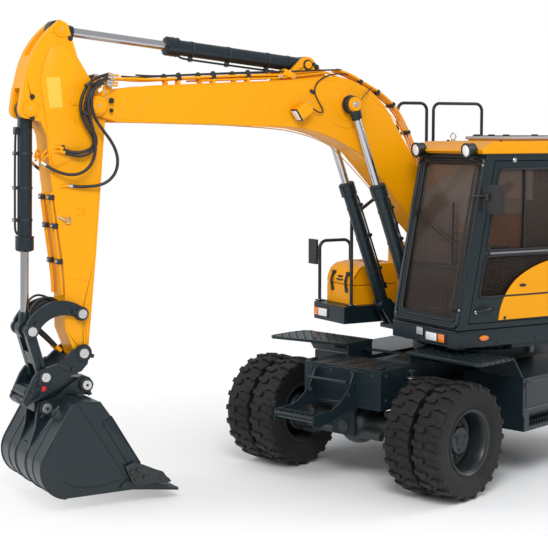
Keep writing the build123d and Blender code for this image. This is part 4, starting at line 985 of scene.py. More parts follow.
for turned in mirrored(armPlace):
    for name, points in armHoses.items():
        last, near = Vector(points[-1]), Vector(points[-2])
        ferrule = tubeAlong([near.lerp(last, 0.45), near.lerp(last, 1.02)], 0.0165, 4)
        gather(ferrule, "armHoseEnds", turned, zincPin if "lower" in name else yellowPaint, "arm")
    for first, last in (((0.69, 0.15, 0.208), (0.7, 0.142, 0.262)), ((0.7, 0.142, 0.262), (0.74, 0.11, 0.345))):
        gather(tubeAlong([first, last], 0.011, 3), "armHoseEnds", turned, yellowPaint, "arm")
    gatherAll("armHoseEnds", turned, "arm",
        (tubeAlong, yellowPaint, [(0.375, 0.155, 0.3), (0.372, 0.15, 0.345), (0.4, 0.11, 0.418),
            (0.47, 0.08, 0.44)], 0.011, 3),
        (tubeAlong, yellowPaint, [(0.407, 0.157, 0.298), (0.412, 0.15, 0.335), (0.44, 0.12, 0.402),
            (0.5, 0.08, 0.43)], 0.011, 3),
        (block, castIron, (0.352, 0.134, 0.262), (0.43, 0.148, 0.292), 0.004))
# clamps that hold the four hoses beside the pivot: they stand on the arm
for turned in mirrored(armPlace):
    for x, z, turn in ((-0.175, 0.105, 35), (0.078, 0.118, -20)):
        bar = block((-0.012, 0.185, -0.03), (0.012, 0.252, 0.04), 0.005)
        gather(bar, "armHoseClamps", turnedAbout(turned, (x, 0, z), turn, "Y"), blackPlastic, "arm")
# pipes down the arm's back edge, with clamps and a small valve
for turned in mirrored(armPlace):
    for y, lift in ((0.118, 0.016), (0.088, 0.016)):
        gather(tubeAlong([(0.7, y, 0.262 + lift), (0.745, y, 0.343 + lift), (0.9, y, 0.314 + lift),
            (1.2, y, 0.254 + lift), (1.5, y, 0.193 + lift), (1.62, y, 0.182 + lift)], 0.0105, 3), "armPipes",
            turned, yellowPaint, "arm")
    for x, z in ((0.8, 0.334), (1.04, 0.286), (1.34, 0.226)):
        gather(block((x - 0.022, 0.066, z - 0.01), (x + 0.022, 0.139, z + 0.036), 0.005), "armPipes", turned,
            blackPlastic, "arm")
        boltRow("armPipes", turned, [(x, 0.103, z + 0.036)], (0, 0, 1), 0.009, zincPin, "arm")
    gatherAll("armPipes", turned, "arm",
        (block, brassFitting, (0.955, 0.134, 0.17), (1.015, 0.16, 0.215), 0.005),
        (tubeAlong, zincPin, [(0.985, 0.15, 0.215), (0.978, 0.15, 0.25), (0.955, 0.14, 0.285)], 0.008, 3))
    boltRow("armPipes", turned, [(x, 0.135, z) for x in (0.88, 0.93) for z in (0.05, 0.1)], (0, 1, 0), 0.01,
        yellowPaint, "arm")
print("arm fittings made")


# bucket end: pins with collars and keepers, coupler fittings, hoses, wear parts of the bucket
bucketDetail = {"half": 0.5, "frontPin": (-0.03, -0.281), "rearPin": (0.334, -0.448), "linkPin": (0.347, -0.178)}
pinEnd("guidePins", armPlace, (1.775, 0.035), 0.178, 0.04, "guide_links", 0.02, 100)
pinEnd("guidePins", armPlace, (1.93, 0.475), 0.178, 0.04, "guide_links", 0.02, 215)
pinEnd("couplerPins", bucketPlace, (0.0, 0.0), 0.178, 0.042, "bucket", 0.018, 200)
pinEnd("couplerPins", bucketPlace, bucketDetail["linkPin"], 0.178, 0.04, "bucket", 0.018, 320)
pinEnd("bucketPins", bucketPlace, bucketDetail["frontPin"], 0.142, 0.042, "bucket", 0.036, 250)
pinEnd("bucketPins", bucketPlace, bucketDetail["rearPin"], 0.142, 0.042, "bucket", 0.036, 300)
for place in mirrored(bucketPlace):
    # raised oval boss, boss rings and bolts on the coupler's cheeks
    oval = [(0.171 + 0.062 * math.cos(turn) - 0.012 * math.sin(turn),
        -0.104 + 0.03 * math.sin(turn) + 0.03 * math.cos(turn)) for turn in turnsOf(28)]
    gather(plateFrom(oval, 0.177, 0.184, 0.003), "couplerCheeks", place, darkPaint, "bucket")
    inner = [(0.171 + 0.82 * (x - 0.171), -0.104 + 0.74 * (z + 0.104)) for x, z in oval]
    gather(plateFrom(inner, 0.183, 0.1865, 0.0015), "couplerCheeks", place, castIron, "bucket")
    for at, radius in (((0.0, 0.0), 0.078), (bucketDetail["linkPin"], 0.074)):
        gather(turnedPiece(stepped(0.177, [(0.007, radius)], 0.003), at, 44), "couplerCheeks", place, darkPaint,
            "bucket")
    gather(turnedPiece(stepped(0.177, [(0.004, 0.024), (0.008, 0.017)], 0.003), (0.363, -0.276), 28),
        "couplerCheeks", place, redPlastic, "bucket")
    boltRow("couplerCheeks", place, [(0.461, 0.182, -0.288), (0.095, 0.177, -0.13)], (0, 1, 0), 0.02, castIron,
        "bucket")
    gatherAll("couplerCheeks", place, "bucket",
        (turnedPiece, blackPaint, stepped(0.177, [(0.0015, 0.017)], 0.0005), (0.515, -0.345), 24),
        (plateFrom, darkPaint, [(0.4, -0.335), (0.51, -0.388), (0.525, -0.365), (0.47, -0.262), (0.43, -0.235),
            (0.375, -0.262)], 0.177, 0.183, 0.0025))
    # ribs that run from the hanger ears round the back of the bucket
    backRun = arcThrough((0.241, -0.379), (0.35, -0.56), (0.471, -0.76), 7)[2:] + arcThrough((0.471, -0.76),
        (0.48, -1.04), (0.298, -1.162), 13)[1:]
    for y, radius in ((0.127, 0.011), (0.3, 0.007), (0.494, 0.009)):
        gather(tubeAlong(atSide(backRun, y), radius, 2, 3), "bucketWear", place, darkPaint, "bucket")
    for y0, y1 in ((0.15, 0.215), (0.15, 0.235)):
        flange = [(0.15, y0, -0.352), (0.225, y1 + 0.02, -0.372), (0.3, y1 + 0.05, -0.478),
            (0.385, y1 + 0.02, -0.625), (0.42, y0 + 0.02, -0.695)]
        gather(tubeAlong(flange, 0.009, 2), "bucketWear", place, darkPaint, "bucket")
    # weld beads along the side plate, its reinforcing strip and the cutter with its bolts
    side = bucketDetail["half"]
    for run, radius in (([(0.189, -0.366), (-0.226, -1.027), (-0.299, -1.135)], 0.0045),
            ([(0.305, -1.022), (0.262, -1.06), (0.15, -1.088), (0.008, -1.098), (-0.213, -1.062)], 0.006),
            ([(-0.022, -0.376), (0.18, -0.354), (0.241, -0.384), (0.35, -0.565), (0.462, -0.76)], 0.006),
            ([(-0.113, -0.502), (-0.379, -0.941)], 0.007)):
        gather(tubeAlong(atSide(run, side), radius, 2), "bucketWear", place, darkPaint, "bucket")
    strip = [(-0.108, -0.512), (-0.03, -0.545), (-0.29, -0.985), (-0.372, -0.945)]
    gather(plateFrom(strip, side - 0.002, side + 0.012, 0.004), "bucketWear", place, darkPaint, "bucket")
    base = [(-0.235, -1.07), (-0.18, -1.128), (-0.33, -1.15), (-0.66, -1.19), (-0.61, -1.15)]
    gather(plateFrom(base, side - 0.004, side + 0.016, 0.004), "bucketWear", place, darkPaint, "bucket")
    cutter = [(-0.226, -0.945), (-0.305, -0.915), (-0.4, -0.95), (-0.545, -1.02), (-0.64, -1.1), (-0.66, -1.13),
        (-0.3, -1.118)]
    gather(plateFrom(cutter, side + 0.018, side + 0.034, 0.004), "bucketWear", place, castIron, "bucket")
    spots = [(-0.339, side + 0.034, -0.982), (-0.283, side + 0.034, -0.994), (-0.325, side + 0.034, -1.064),
        (-0.407, side + 0.034, -1.062)]
    boltRow("bucketWear", place, spots, (0, 1, 0), 0.021, castIron, "bucket", 0.02)
    # black discs painted as the shade inside holes in the bucket's back
    for x, z in ((0.42, -0.705), (0.462, -1.045)):
        holeShadeDisc = turnedPiece([(0.298, 0.0), (0.298, 0.016), (0.302, 0.016), (0.302, 0.0)], (0, 0), 20)
        gather(holeShadeDisc, "bucketWear", turnedAbout(place, (x, 0, z), 90, "X"), blackPaint, "bucket")
edge = block((-0.741, -0.498, -1.2215), (-0.56, 0.498, -1.198), 0.003)
for vertex in edge.data.vertices:
    vertex.co.z += (vertex.co.x + 0.741) * 0.135 if vertex.co.z > -1.21 else (vertex.co.x + 0.741) * 0.15
gather(edge, "bucketWear", bucketPlace, castIron, "bucket")
for y in (-0.32, 0.0, 0.32):
    strip = plateFrom([(-0.42, -1.176), (0.25, -1.1605), (0.25, -1.171), (-0.43, -1.188)], y - 0.045, y + 0.045,
        0.003)
    gather(strip, "bucketWear", bucketPlace, castIron, "bucket")
for at, radius, half in (((0.47, -0.318), 0.052, 0.14), ((0.505, -0.385), 0.04, 0.14),
        ((0.3, -0.245), 0.045, 0.14)):
    roller = [(-half, 0.0), (-half, radius * 0.8), (-half + 0.012, radius), (half - 0.012, radius),
        (half, radius * 0.8), (half, 0.0)]
    gather(turnedPiece(roller, at, 40), "couplerCheeks", bucketPlace, darkPaint, "bucket")

# coupler's hydraulic hoses: two on each side that arch over the link, held at both ends
couplerHoses = {"couplerHoseFirst": [(1.745, 0.105, 0.168), (1.69, 0.105, 0.205), (1.652, 0.102, 0.279),
    (1.646, 0.096, 0.363), (1.704, 0.086, 0.431), (1.807, 0.07, 0.472), (1.9, 0.058, 0.42), (2.0, 0.05, 0.285),
    (2.095, 0.05, 0.18)], "couplerHoseSecond": [(1.785, 0.075, 0.166), (1.728, 0.075, 0.205),
    (1.692, 0.072, 0.285), (1.69, 0.066, 0.35), (1.74, 0.056, 0.402), (1.82, 0.042, 0.43), (1.905, 0.032, 0.375),
    (2.0, 0.026, 0.255), (2.09, 0.026, 0.165)]}
layHoses(couplerHoses, 0.0095, 3)
for turned in mirrored(armPlace):
    for y, x in ((0.105, 1.745), (0.075, 1.785)):
        gather(tubeAlong([(x + 0.015, y, 0.158), (x - 0.008, y, 0.172), (x - 0.034, y, 0.192)], 0.0125, 3),
            "couplerHoseEnds", turned, zincPin, "arm")
    for y, x, z in ((0.05, 2.095, 0.18), (0.026, 2.09, 0.165)):
        gather(tubeAlong([(x - 0.02, y, z + 0.025), (x + 0.02, y, z - 0.025)], 0.0125, 3), "couplerHoseEnds",
            turned, yellowPaint, "bucket")
print("bucket end made")

# cylinders: bolt rings on the glands, wipers, clamp bands with a side pipe, eyes with zinc ends
ramRows = [("bucketRam", Vector(joints["bucket_barrel_swing"]["pos_m"]), armPlace @ Vector((1.93, 0, 0.475)),
    0.062, 1.18, 0.035, "bucket_barrel", "bucket_rod", 0.0),
    ("armRam", Vector(joints["arm_barrel_swing"]["pos_m"]), armPlace @ Vector((-0.61, 0, 0.35)), 0.068, 1.4, 0.04,
    "arm_barrel", "arm_rod", 180.0), ("leftBoomRam", upperPlace @ Vector((0.82, 0.12, 1.45)),
    boomPlace @ Vector((2.12, 0.27, 1.0)), 0.063, 1.3, 0.0375, "boom_barrels", "boom_rods", 0.0),
    ("rightBoomRam", upperPlace @ Vector((0.82, -0.42, 1.45)), boomPlace @ Vector((2.12, -0.27, 1.0)), 0.063, 1.3,
    0.0375, "boom_barrels", "boom_rods", 0.0)]
for name, foot, tip, radius, length, rodRadius, barrelBody, rodBody, pipeTurn in ramRows:
    along = (tip - foot).normalized()
    ramPlace = Matrix.Translation(foot) @ Matrix((along, upperLeft, along.cross(upperLeft))).transposed().to_4x4()
    ramPlace = ramPlace if ramPlace.determinant() > 0 else ramPlace @ Matrix.Diagonal((1, 1, -1, 1))
    spunAlong = Matrix.Rotation(math.radians(-90), 4, "Z")    # turns a piece spun about Y to lie along X
    gland = [(length - 0.014, rodRadius + 0.003), (length - 0.014, radius + 0.016),
        (length - 0.004, radius + 0.016), (length, radius + 0.01), (length + 0.016, radius - 0.004),
        (length + 0.02, rodRadius + 0.01), (length + 0.02, rodRadius + 0.002)]
    gather(spunFrom(gland, 48), name, ramPlace @ spunAlong, darkPaint, barrelBody)
    for place, ringRadius, thick in ((length - 0.112, radius + 0.018, 0.012),
            (length - 0.058, radius + 0.0185, 0.007), (0.15, radius + 0.004, 0.012)):
        ring = [(place, radius - 0.004), (place, ringRadius - 0.002), (place + 0.002, ringRadius),
            (place + thick - 0.002, ringRadius), (place + thick, ringRadius - 0.002),
            (place + thick, radius - 0.004)]
        gather(spunFrom(ring, 48), name, ramPlace @ spunAlong, darkPaint, barrelBody)
    head = boltHead(0.0075, 0.01)
    spots = [turnedTo((1, 0, 0), (length - 0.001, (radius + 0.006) * math.cos(turn),
        (radius + 0.006) * math.sin(turn))) for turn in turnsOf(12)]
    gather(repeated(head, spots), name, ramPlace, castIron, barrelBody)
    # side pipe with its bands and end fittings
    turnedPipe = ramPlace @ Matrix.Rotation(math.radians(pipeTurn), 4, "X")
    gatherAll(name, turnedPipe, barrelBody,
        (tubeAlong, darkPaint, [(0.2, 0, radius + 0.018), (0.3, 0, radius + 0.024),
            (length - 0.22, 0, radius + 0.024), (length - 0.15, 0, radius + 0.02),
            (length - 0.13, 0, radius + 0.004)], 0.0095, 3),
        (block, darkPaint, (0.15, -0.024, radius - 0.006), (0.215, 0.024, radius + 0.034), 0.006))
    for place in (0.36, length * 0.55, length - 0.26):
        band = [(place, radius - 0.004), (place, radius + 0.004), (place + 0.022, radius + 0.004),
            (place + 0.022, radius - 0.004)]
        gather(spunFrom(band, 40), name, turnedPipe @ spunAlong, castIron, barrelBody)
        gather(block((place - 0.004, -0.026, radius), (place + 0.026, 0.026, radius + 0.04), 0.005), name,
            turnedPipe, blackPlastic, barrelBody)
        boltRow(name, turnedPipe, [(place + 0.011, -0.016, radius + 0.04), (place + 0.011, 0.016, radius + 0.04)],
            (0, 0, 1), 0.006, zincPin, barrelBody)
    # eye on the rod's end: neck and wiper faces
    span = (tip - foot).length
    neck = [(span - 0.15, rodRadius - 0.002), (span - 0.15, rodRadius + 0.01), (span - 0.14, rodRadius + 0.014),
        (span - 0.06, rodRadius + 0.02), (span - 0.04, rodRadius + 0.02), (span - 0.04, rodRadius - 0.002)]
    gather(spunFrom(neck, 40), name, ramPlace @ spunAlong, darkPaint, rodBody)
    half = 0.0365 if "Boom" in name else 0.0555
    eye = [(-half, 0.03), (-half, rodRadius + 0.037), (-half + 0.003, rodRadius + 0.0395),
        (half - 0.003, rodRadius + 0.0395), (half, rodRadius + 0.037), (half, 0.03)]
    eyePiece = spunFrom(eye, 56)
    gather(eyePiece, name, Matrix.Translation(tip) @ ramPlace.to_3x3().to_4x4(), darkPaint, rodBody)
print("cylinder fittings made")


# cab: windscreen frame and seals, header, lamps, handles, studs, blank plate and headlamps
cabDetail = {"foot": 1.15, "lean": 0.19, "sill": 1.411, "corner": 0.06, "side": 1.2405, "split": 1.955,
    "header": 2.944}


def screenX(z):
    return cabDetail["foot"] - cabDetail["lean"] * (z - cabDetail["sill"])


def screenLoop(y0, y1, z0, z1, corner, out):
    # a rounded loop on the leaning front of the cab
    loop = []
    for y, z, start in ((y1 - corner, z1 - corner, 0), (y0 + corner, z1 - corner, 90),
            (y0 + corner, z0 + corner, 180), (y1 - corner, z0 + corner, 270)):
        for step in range(4):
            turn = math.radians(start + 30 * step)
            height = z + corner * math.sin(turn)
            loop.append((screenX(height) + out, y + corner * math.cos(turn), height))
    return loop + loop[:1]


def roundedOutline(x0, x1, z0, z1, corner):
    # x0 and x1 are functions of height, so that a pane may lean
    outline = []
    for x, z, start in ((x1, z1, 0), (x0, z1, 90), (x0, z0, 180), (x1, z0, 270)):
        for step in range(4):
            turn = math.radians(start + 30 * step)
            height = z + (-corner if z == z1 else corner) + corner * math.sin(turn)
            outline.append((x(height) + (-corner if x == x1 else corner) + corner * math.cos(turn), height))
    return outline


gatherAll("cabFrame", upperPlace, "upper",
    (tubeAlong, darkPaint, screenLoop(0.262, 1.216, 1.437, 2.962, 0.055, 0.004), 0.019, 3),
    (tubeAlong, blackPaint, screenLoop(0.298, 1.18, 1.48, 2.93, cabDetail["corner"], 0.002), 0.009, 2),
    (tubeAlong, blackPaint, screenLoop(0.322, 1.155, 1.512, 2.905, cabDetail["corner"], -0.008), 0.013, 2))
splitX = screenX(cabDetail["split"])
gather(block((splitX - 0.04, 0.33, 1.945), (splitX - 0.018, 1.15, 1.965), 0.003), "cabFrame", upperPlace,
    blackPaint, "upper")
for y in (0.42, 0.6, 0.78, 0.96, 1.08):
    gather(boltHead(0.011, 0.01), "cabFrame", upperPlace @ turnedTo((1, 0, cabDetail["lean"]),
        (screenX(cabDetail["header"]) + 0.004, y, cabDetail["header"])), blackPlastic, "upper")
# wiper
wiper = [(screenX(2.42) + 0.012, 0.365, 2.42), (screenX(2.3) + 0.02, 0.62, 2.3),
    (screenX(2.18) + 0.014, 0.95, 2.18)]
gather(tubeAlong(wiper, 0.0075, 2), "cabWiper", upperPlace, blackPaint, "upper")
blade = [(screenX(2.54) - 0.006, 0.86, 2.54), (screenX(2.18) + 0.002, 0.95, 2.18),
    (screenX(1.99) - 0.006, 0.99, 1.99)]
gather(tubeAlong(blade, 0.009, 2), "cabWiper", upperPlace, blackPaint, "upper")
gather(turnedPiece(stepped(0, [(0.03, 0.026), (0.01, 0.018)]), (0, 0), 24), "cabWiper",
    turnedAbout(upperPlace, (screenX(2.43) - 0.005, 0.35, 2.43), -90, "Z"), blackPaint, "upper")

# door: window seals, post, strips, handle, and the side windows' seals
for z0, z1 in ((2.12, 2.85), (1.7, 2.07)):
    outline = roundedOutline(lambda z: 0.03, lambda z: screenX(z) - 0.17, z0, z1, 0.045)
    gather(tubeAlong(sideLoop(outline, cabDetail["side"]), 0.011, 2), "doorTrim", upperPlace, blackPaint,
        "cab_door")
gatherAll("doorTrim", upperPlace, "cab_door",
    (block, blackPaint, (0.392, 1.214, 2.118), (0.416, 1.24, 2.852), 0.004),
    (block, steelPlate, (0.02, 1.2395, 2.085), (0.8, 1.2445, 2.105), 0.002),
    (tubeAlong, blackPaint, [(-0.04, 1.241, 1.474), (screenX(1.474) - 0.108, 1.241, 1.474)], 0.005, 1))
for ahead, y in ((-0.13, cabDetail["side"]), (0.76, 0.2365)):
    outline = roundedOutline(lambda z: -0.56, lambda z: ahead, 2.0, 2.88, 0.05)
    gather(tubeAlong(sideLoop(outline, y), 0.012, 2), "cabFrame", upperPlace, blackPaint, "upper")
rearLoop = [(-0.641, y, z) for y, z in ((0.4, 2.16), (1.08, 2.16), (1.115, 2.2), (1.115, 2.84), (1.08, 2.875),
    (0.4, 2.875), (0.36, 2.84), (0.36, 2.2), (0.4, 2.16))]
gather(tubeAlong(rearLoop, 0.012, 2), "cabFrame", upperPlace, blackPaint, "upper")
handleOval = ovalOf((0.862, 1.58), 0.118, 0.046, 32, 0.012)
gatherAll("doorHandle", upperPlace, "cab_door",
    (plateFrom, blackPaint, handleOval, 1.236, 1.243, 0.002),
    (tubeAlong, darkPaint, sideLoop(handleOval, 1.2425), 0.0055, 2),
    (tubeAlong, blackPlastic, [(0.95, 1.244, 1.57), (0.925, 1.262, 1.578), (0.83, 1.264, 1.592),
        (0.79, 1.246, 1.596)], 0.012, 3),
    (turnedPiece, zincPin, stepped(1.241, [(0.006, 0.017)]), (0.952, 1.568), 20))
gather(turnedPiece(stepped(1.2395, [(0.004, 0.022), (0.006, 0.016)]), (0.534, 2.929), 28), "cabStuds", upperPlace,
    zincPin, "upper")
gather(plateFrom(ovalOf((0.422, 1.788), 0.04, 0.014, 20), 1.2465, 1.256, 0.003), "coverLatch", upperPlace,
    blackPlastic, "cab_door")
for spot in ((0.625, 1.5), (0.04, 1.52)):
    gather(turnedPiece(stepped(1.2465, [(0.003, 0.016), (0.005, 0.011)]), spot, 24), "coverLatch", upperPlace,
        blackPlastic, "cab_door")

# grab rail clamps and the mirror's arm
for z in (1.595, 2.885):
    gather(block((screenX(z) - 0.006, 1.17, z - 0.026), (screenX(z) + 0.03, 1.222, z + 0.026), 0.006), "cabRail",
        upperPlace, blackPaint, "upper")
    gather(boltHead(0.011, 0.009), "cabRail", upperPlace @ turnedTo((0, 1, 0), (screenX(z) + 0.012, 1.222, z)),
        zincPin, "upper")
gatherAll("mirrorArm", upperPlace, "upper",
    (tubeAlong, blackPaint, [(screenX(2.61) + 0.07, 1.195, 2.61), (0.93, 1.235, 2.615), (0.885, 1.3, 2.612),
        (0.885, 1.33, 2.605)], 0.0105, 3),
    (block, blackPlastic, (0.896, 1.3, 2.575), (0.922, 1.35, 2.64), 0.007),
    (tubeAlong, blackPaint, [(0.885, 1.242, 2.47), (0.885, 1.242, 2.7)], 0.016, 3))
gather(plateFrom([(1.322, 2.474), (1.468, 2.474), (1.468, 2.701), (1.322, 2.701)], 0.866, 0.8715, 0.002,
    along="X"), "mirrorFace", upperPlace, chromeRod, "upper")

# roof: hatch with its light frame, edge seam, knobs and a ring bolt, lamps with lenses and guards
gatherAll("roofHatch", upperPlace, "upper",
    (block, greyPaint, (-0.35, 0.385, 3.112), (0.44, 1.092, 3.142), 0.01, 3),
    (block, blackPaint, (-0.3, 0.43, 3.136), (0.392, 1.047, 3.15), 0.006))
for x, y in ((-0.31, 0.52), (-0.31, 0.95), (0.4, 0.52), (0.4, 0.95), (0.4, 0.735)):
    gather(block((x - 0.028, y - 0.02, 3.14), (x + 0.028, y + 0.02, 3.16), 0.005), "roofHatch", upperPlace,
        blackPlastic, "upper")
for x, y in ((-0.56, 0.34), (-0.56, 1.14), (0.6, 1.12), (0.62, 0.36), (0.02, 1.14), (0.02, 0.34)):
    gather(boltHead(0.014, 0.012), "roofBolts", upperPlace @ Matrix.Translation((x, y, 3.096)), blackPlastic,
        "upper")
ringTurn = [(0.62 + 0.03 * math.cos(turn), 0.44, 3.142 + 0.03 * math.sin(turn))
    for turn in (math.tau * number / 16 for number in range(17))]
gatherAll("roofBolts", upperPlace, "upper",
    (tubeAlong, zincPin, ringTurn, 0.007, 2),
    (block, zincPin, (0.6, 0.425, 3.08), (0.64, 0.455, 3.112), 0.004))
gather(block((-0.64, 0.232, 2.973), (screenX(2.985) + 0.03, 1.245, 2.987), 0.004), "roofSeal", upperPlace,
    blackPaint, "upper")
for y in (1.12, 0.357):
    lampX, lampZ = screenX(2.985) + 0.14, 3.015
    lampTurn = turnedAbout(upperPlace, (lampX, y, lampZ), -90, "Z") @ Matrix.Rotation(math.radians(-6), 4, "X")
    bezel = [(-0.03, 0.05), (-0.03, 0.064), (0.006, 0.07), (0.012, 0.066), (0.012, 0.054), (0.0, 0.052)]
    gatherAll("cabLamps", lampTurn, "upper",
        (spunFrom, blackPlastic, bezel, 40),
        (turnedPiece, lampLens, [(0.0, 0.0), (0.0, 0.053), (0.006, 0.053), (0.0135, 0.035), (0.016, 0.0)], (0, 0),
            36),
        (turnedPiece, chromeRod, [(-0.006, 0.0), (-0.006, 0.052), (-0.001, 0.052), (-0.004, 0.02), (-0.003, 0.0)],
            (0, 0), 32),
        (turnedPiece, blackPlastic, [(-0.09, 0.0), (-0.09, 0.045), (-0.06, 0.06), (-0.028, 0.064), (-0.028, 0.0)],
            (0, 0), 32))
    gather(block((lampX - 0.085, y - 0.026, 2.93), (lampX - 0.05, y + 0.026, 2.975), 0.005), "cabLamps",
        upperPlace, blackPlastic, "upper")

# base strip: lip, blank plate, headlamps and amber lamps
front = 1.16
gatherAll("baseStrip", upperPlace, "upper",
    (block, darkPaint, (front - 0.002, 0.25, 1.386), (front + 0.01, 1.232, 1.404), 0.004),
    (block, blackPaint, (front - 0.002, 0.625, 1.306), (front + 0.006, 0.739, 1.392), 0.003),
    (block, greyPaint, (front + 0.004, 0.634, 1.315), (front + 0.008, 0.73, 1.383), 0.001),
    (block, blackPlastic, (front - 0.004, 0.775, 1.27), (front + 0.01, 1.085, 1.372), 0.006))
gatherAll("headLamps", upperPlace, "upper",
    (block, lampLens, (front + 0.006, 0.79, 1.283), (front + 0.02, 0.95, 1.358), 0.008, 3),
    (block, amberLens, (front + 0.006, 0.975, 1.283), (front + 0.02, 1.065, 1.358), 0.008, 3))
for y0, y1 in ((0.796, 0.868), (0.872, 0.944)):
    gather(block((front + 0.009, y0, 1.289), (front + 0.012, y1, 1.352), 0.002), "headLamps", upperPlace,
        chromeRod, "upper")
marker = ovalOf((0.86, 1.33), 0.052, 0.024, 24)
gatherAll("sideMarker", upperPlace, "upper",
    (plateFrom, amberLens, marker, 1.238, 1.252, 0.004),
    (plateFrom, blackPlastic, marker, 1.2385, 1.2425, 0.001))
for x in (1.1, 0.7, 0.25, -0.2, -0.58):
    gather(boltHead(0.01, 0.008), "baseStrip", upperPlace @ turnedTo((0, 1, 0), (x, 1.24, 1.285)), castIron,
        "upper")
gather(block((-0.64, 1.238, 1.388), (1.15, 1.248, 1.404), 0.003), "baseStrip", upperPlace, darkPaint, "upper")

# inside the cab: head rest, arm rests, levers, wheel rim, monitor
seatY = 0.7385
gather(block((-0.33, seatY - 0.13, 2.52), (-0.2, seatY + 0.13, 2.7), 0.04, 4), "cabInside", upperPlace, seatCloth,
    "upper")
for side in (-1, 1):
    gatherAll("cabInside", upperPlace, "upper",
        (block, blackPlastic, (-0.1, seatY + side * 0.345 - 0.045, 2.02),
            (0.2, seatY + side * 0.345 + 0.045, 2.075), 0.02, 3),
        (tubeAlong, blackPlastic, [(0.24, seatY + side * 0.345, 2.03), (0.245, seatY + side * 0.345, 2.12),
            (0.262, seatY + side * 0.345, 2.2)], 0.02, 3))
wheelTurn = turnedAbout(upperPlace, (0.672, seatY, 2.112), -40, "Y")
wheelRim = [(0.185 * math.cos(turn), 0.185 * math.sin(turn), 0.03)
    for turn in (math.tau * number / 20 for number in range(21))]
gather(tubeAlong(wheelRim, 0.014, 3), "cabInside", wheelTurn, blackPlastic, "upper")
gatherAll("cabInside", upperPlace, "upper",
    (block, blackPlastic, (0.64, 0.3, 2.14), (0.672, 0.47, 2.27), 0.01),
    (block, blackPlastic, (0.3, 0.45, 1.475), (0.98, 1.05, 1.49), 0.006))
for side in (-0.16, 0.16):
    gatherAll("cabInside", upperPlace, "upper",
        (tubeAlong, blackPlastic, [(0.86, seatY + side, 1.5), (0.84, seatY + side, 1.66),
            (0.8, seatY + side, 1.86)], 0.012, 3),
        (block, blackPlastic, (0.855, seatY + side - 0.045, 1.5), (0.96, seatY + side + 0.045, 1.53), 0.01))
print("cab fittings made")

# right platform: lamps, tread studs, tool box latches, mirror shell
studs = {"pitch": 0.052, "length": 0.03, "width": 0.009, "height": 0.0035, "sunk": 0.001, "lean": 45}


def treadPlate(region, place, x0, x1, y0, y1, z, body, inside=None):
    # rows of slanting raised studs, each row leaning the other way
    half = Vector((studs["length"] / 2, studs["width"] / 2, 0))
    stud = block(-half + Vector((0, 0, -studs["sunk"])), half + Vector((0, 0, studs["height"])), 0.0, 1)
    places = []
    for row in range(int((x1 - x0) / studs["pitch"])):
        for column in range(int((y1 - y0) / studs["pitch"])):
            x = x0 + (row + 0.5) * studs["pitch"]
            y = y0 + (column + 0.5) * studs["pitch"]
            if inside is None or inside(x, y):
                lean = studs["lean"] if (row + column) % 2 else -studs["lean"]
                places.append(turnedAbout(ground, (x, y, z), lean, "Z"))
    gather(repeated(stud, places), region, place, darkPaint, body)


def beforeSlant(x, y):
    # the platform's outer front corner is cut off on a slant
    return x - 1.1 < 1.1667 * (y + 1.25)


treadPlate("platformTread", upperPlace, 1.02, 1.165, -1.18, -0.61, 1.425, "upper", beforeSlant)
treadPlate("platformTread", upperPlace, 0.22, 0.455, -1.19, -0.61, 1.425, "upper")
front = 1.17
gatherAll("platformLamps", upperPlace, "upper",
    (block, blackPlastic, (front - 0.004, -1.168, 1.28), (front + 0.008, -0.9, 1.385), 0.006),
    (block, amberLens, (front + 0.004, -1.155, 1.293), (front + 0.02, -1.085, 1.372), 0.007, 3),
    (block, lampLens, (front + 0.004, -1.07, 1.293), (front + 0.02, -0.915, 1.372), 0.007, 3),
    (block, chromeRod, (front + 0.008, -1.064, 1.299), (front + 0.011, -0.921, 1.366), 0.002))
for y in (-1.065, -0.8):
    gather(block((1.008, y - 0.022, 1.545), (1.026, y + 0.022, 1.59), 0.005), "toolLatch", upperPlace,
        blackPlastic, "upper")
    gatherAll("toolLatch", upperPlace, "toolbox_lid",
        (tubeAlong, blackPlastic, [(1.02, y, 1.58), (1.034, y, 1.64), (1.022, y, 1.7), (1.004, y, 1.73)], 0.013, 3),
        (block, blackPlastic, (0.985, y - 0.03, 1.715), (1.008, y + 0.03, 1.755), 0.006))
gatherAll("toolLatch", upperPlace, "toolbox_lid",
    (tubeAlong, blackPlastic, [(1.005, -0.985, 1.672), (1.03, -0.98, 1.672), (1.03, -0.885, 1.672),
        (1.005, -0.88, 1.672)], 0.008, 3),
    (block, blackPaint, (0.99, -0.975, 1.69), (1.009, -0.89, 1.712), 0.004))
treadPlate("lidTread", upperPlace, 0.5, 0.76, -1.12, -0.74, 1.84, "toolbox_lid")
for x, y in ((1.08, -1.215), (0.7, -1.215), (1.06, -0.64), (0.15, -1.15), (-0.23, -1.15)):
    z = 1.426 if x > 0.3 else 2.0
    foot = block((x - 0.04, y - 0.034 if y < -1.2 else y - 0.04, z - 0.001), (x + 0.04, y + 0.04, z + 0.01), 0.003)
    gather(foot, "railFeet", upperPlace, darkPaint, "upper")
    for dx in (-0.028, 0.028):
        gather(boltHead(0.008, 0.008), "railFeet", upperPlace @ Matrix.Translation((x + dx, y + 0.026, z + 0.01)),
            zincPin, "upper")
mirrorTurn = turnedAbout(upperPlace, (1.083, -1.341, 1.93), 90, "Z")
gather(spunFrom([(-0.012, 0.06), (-0.014, 0.086), (0.004, 0.094), (0.016, 0.08), (0.016, 0.05)], 36),
    "rightMirror", mirrorTurn @ Matrix.Diagonal((0.86, 1, 1.42, 1)), blackPlastic, "upper")
print("platform fittings made")


# chassis: diamond plate decks, nose plate and its slots, ladder edges, canister, side boxes
deckPlan = [(1.17, 0.36), (1.15, 1.15), (1.18, 1.25), (1.66, 1.25), (1.7, 1.2), (1.57, 0.36)]
deckTop = 1.185
deckMargin = 0.018


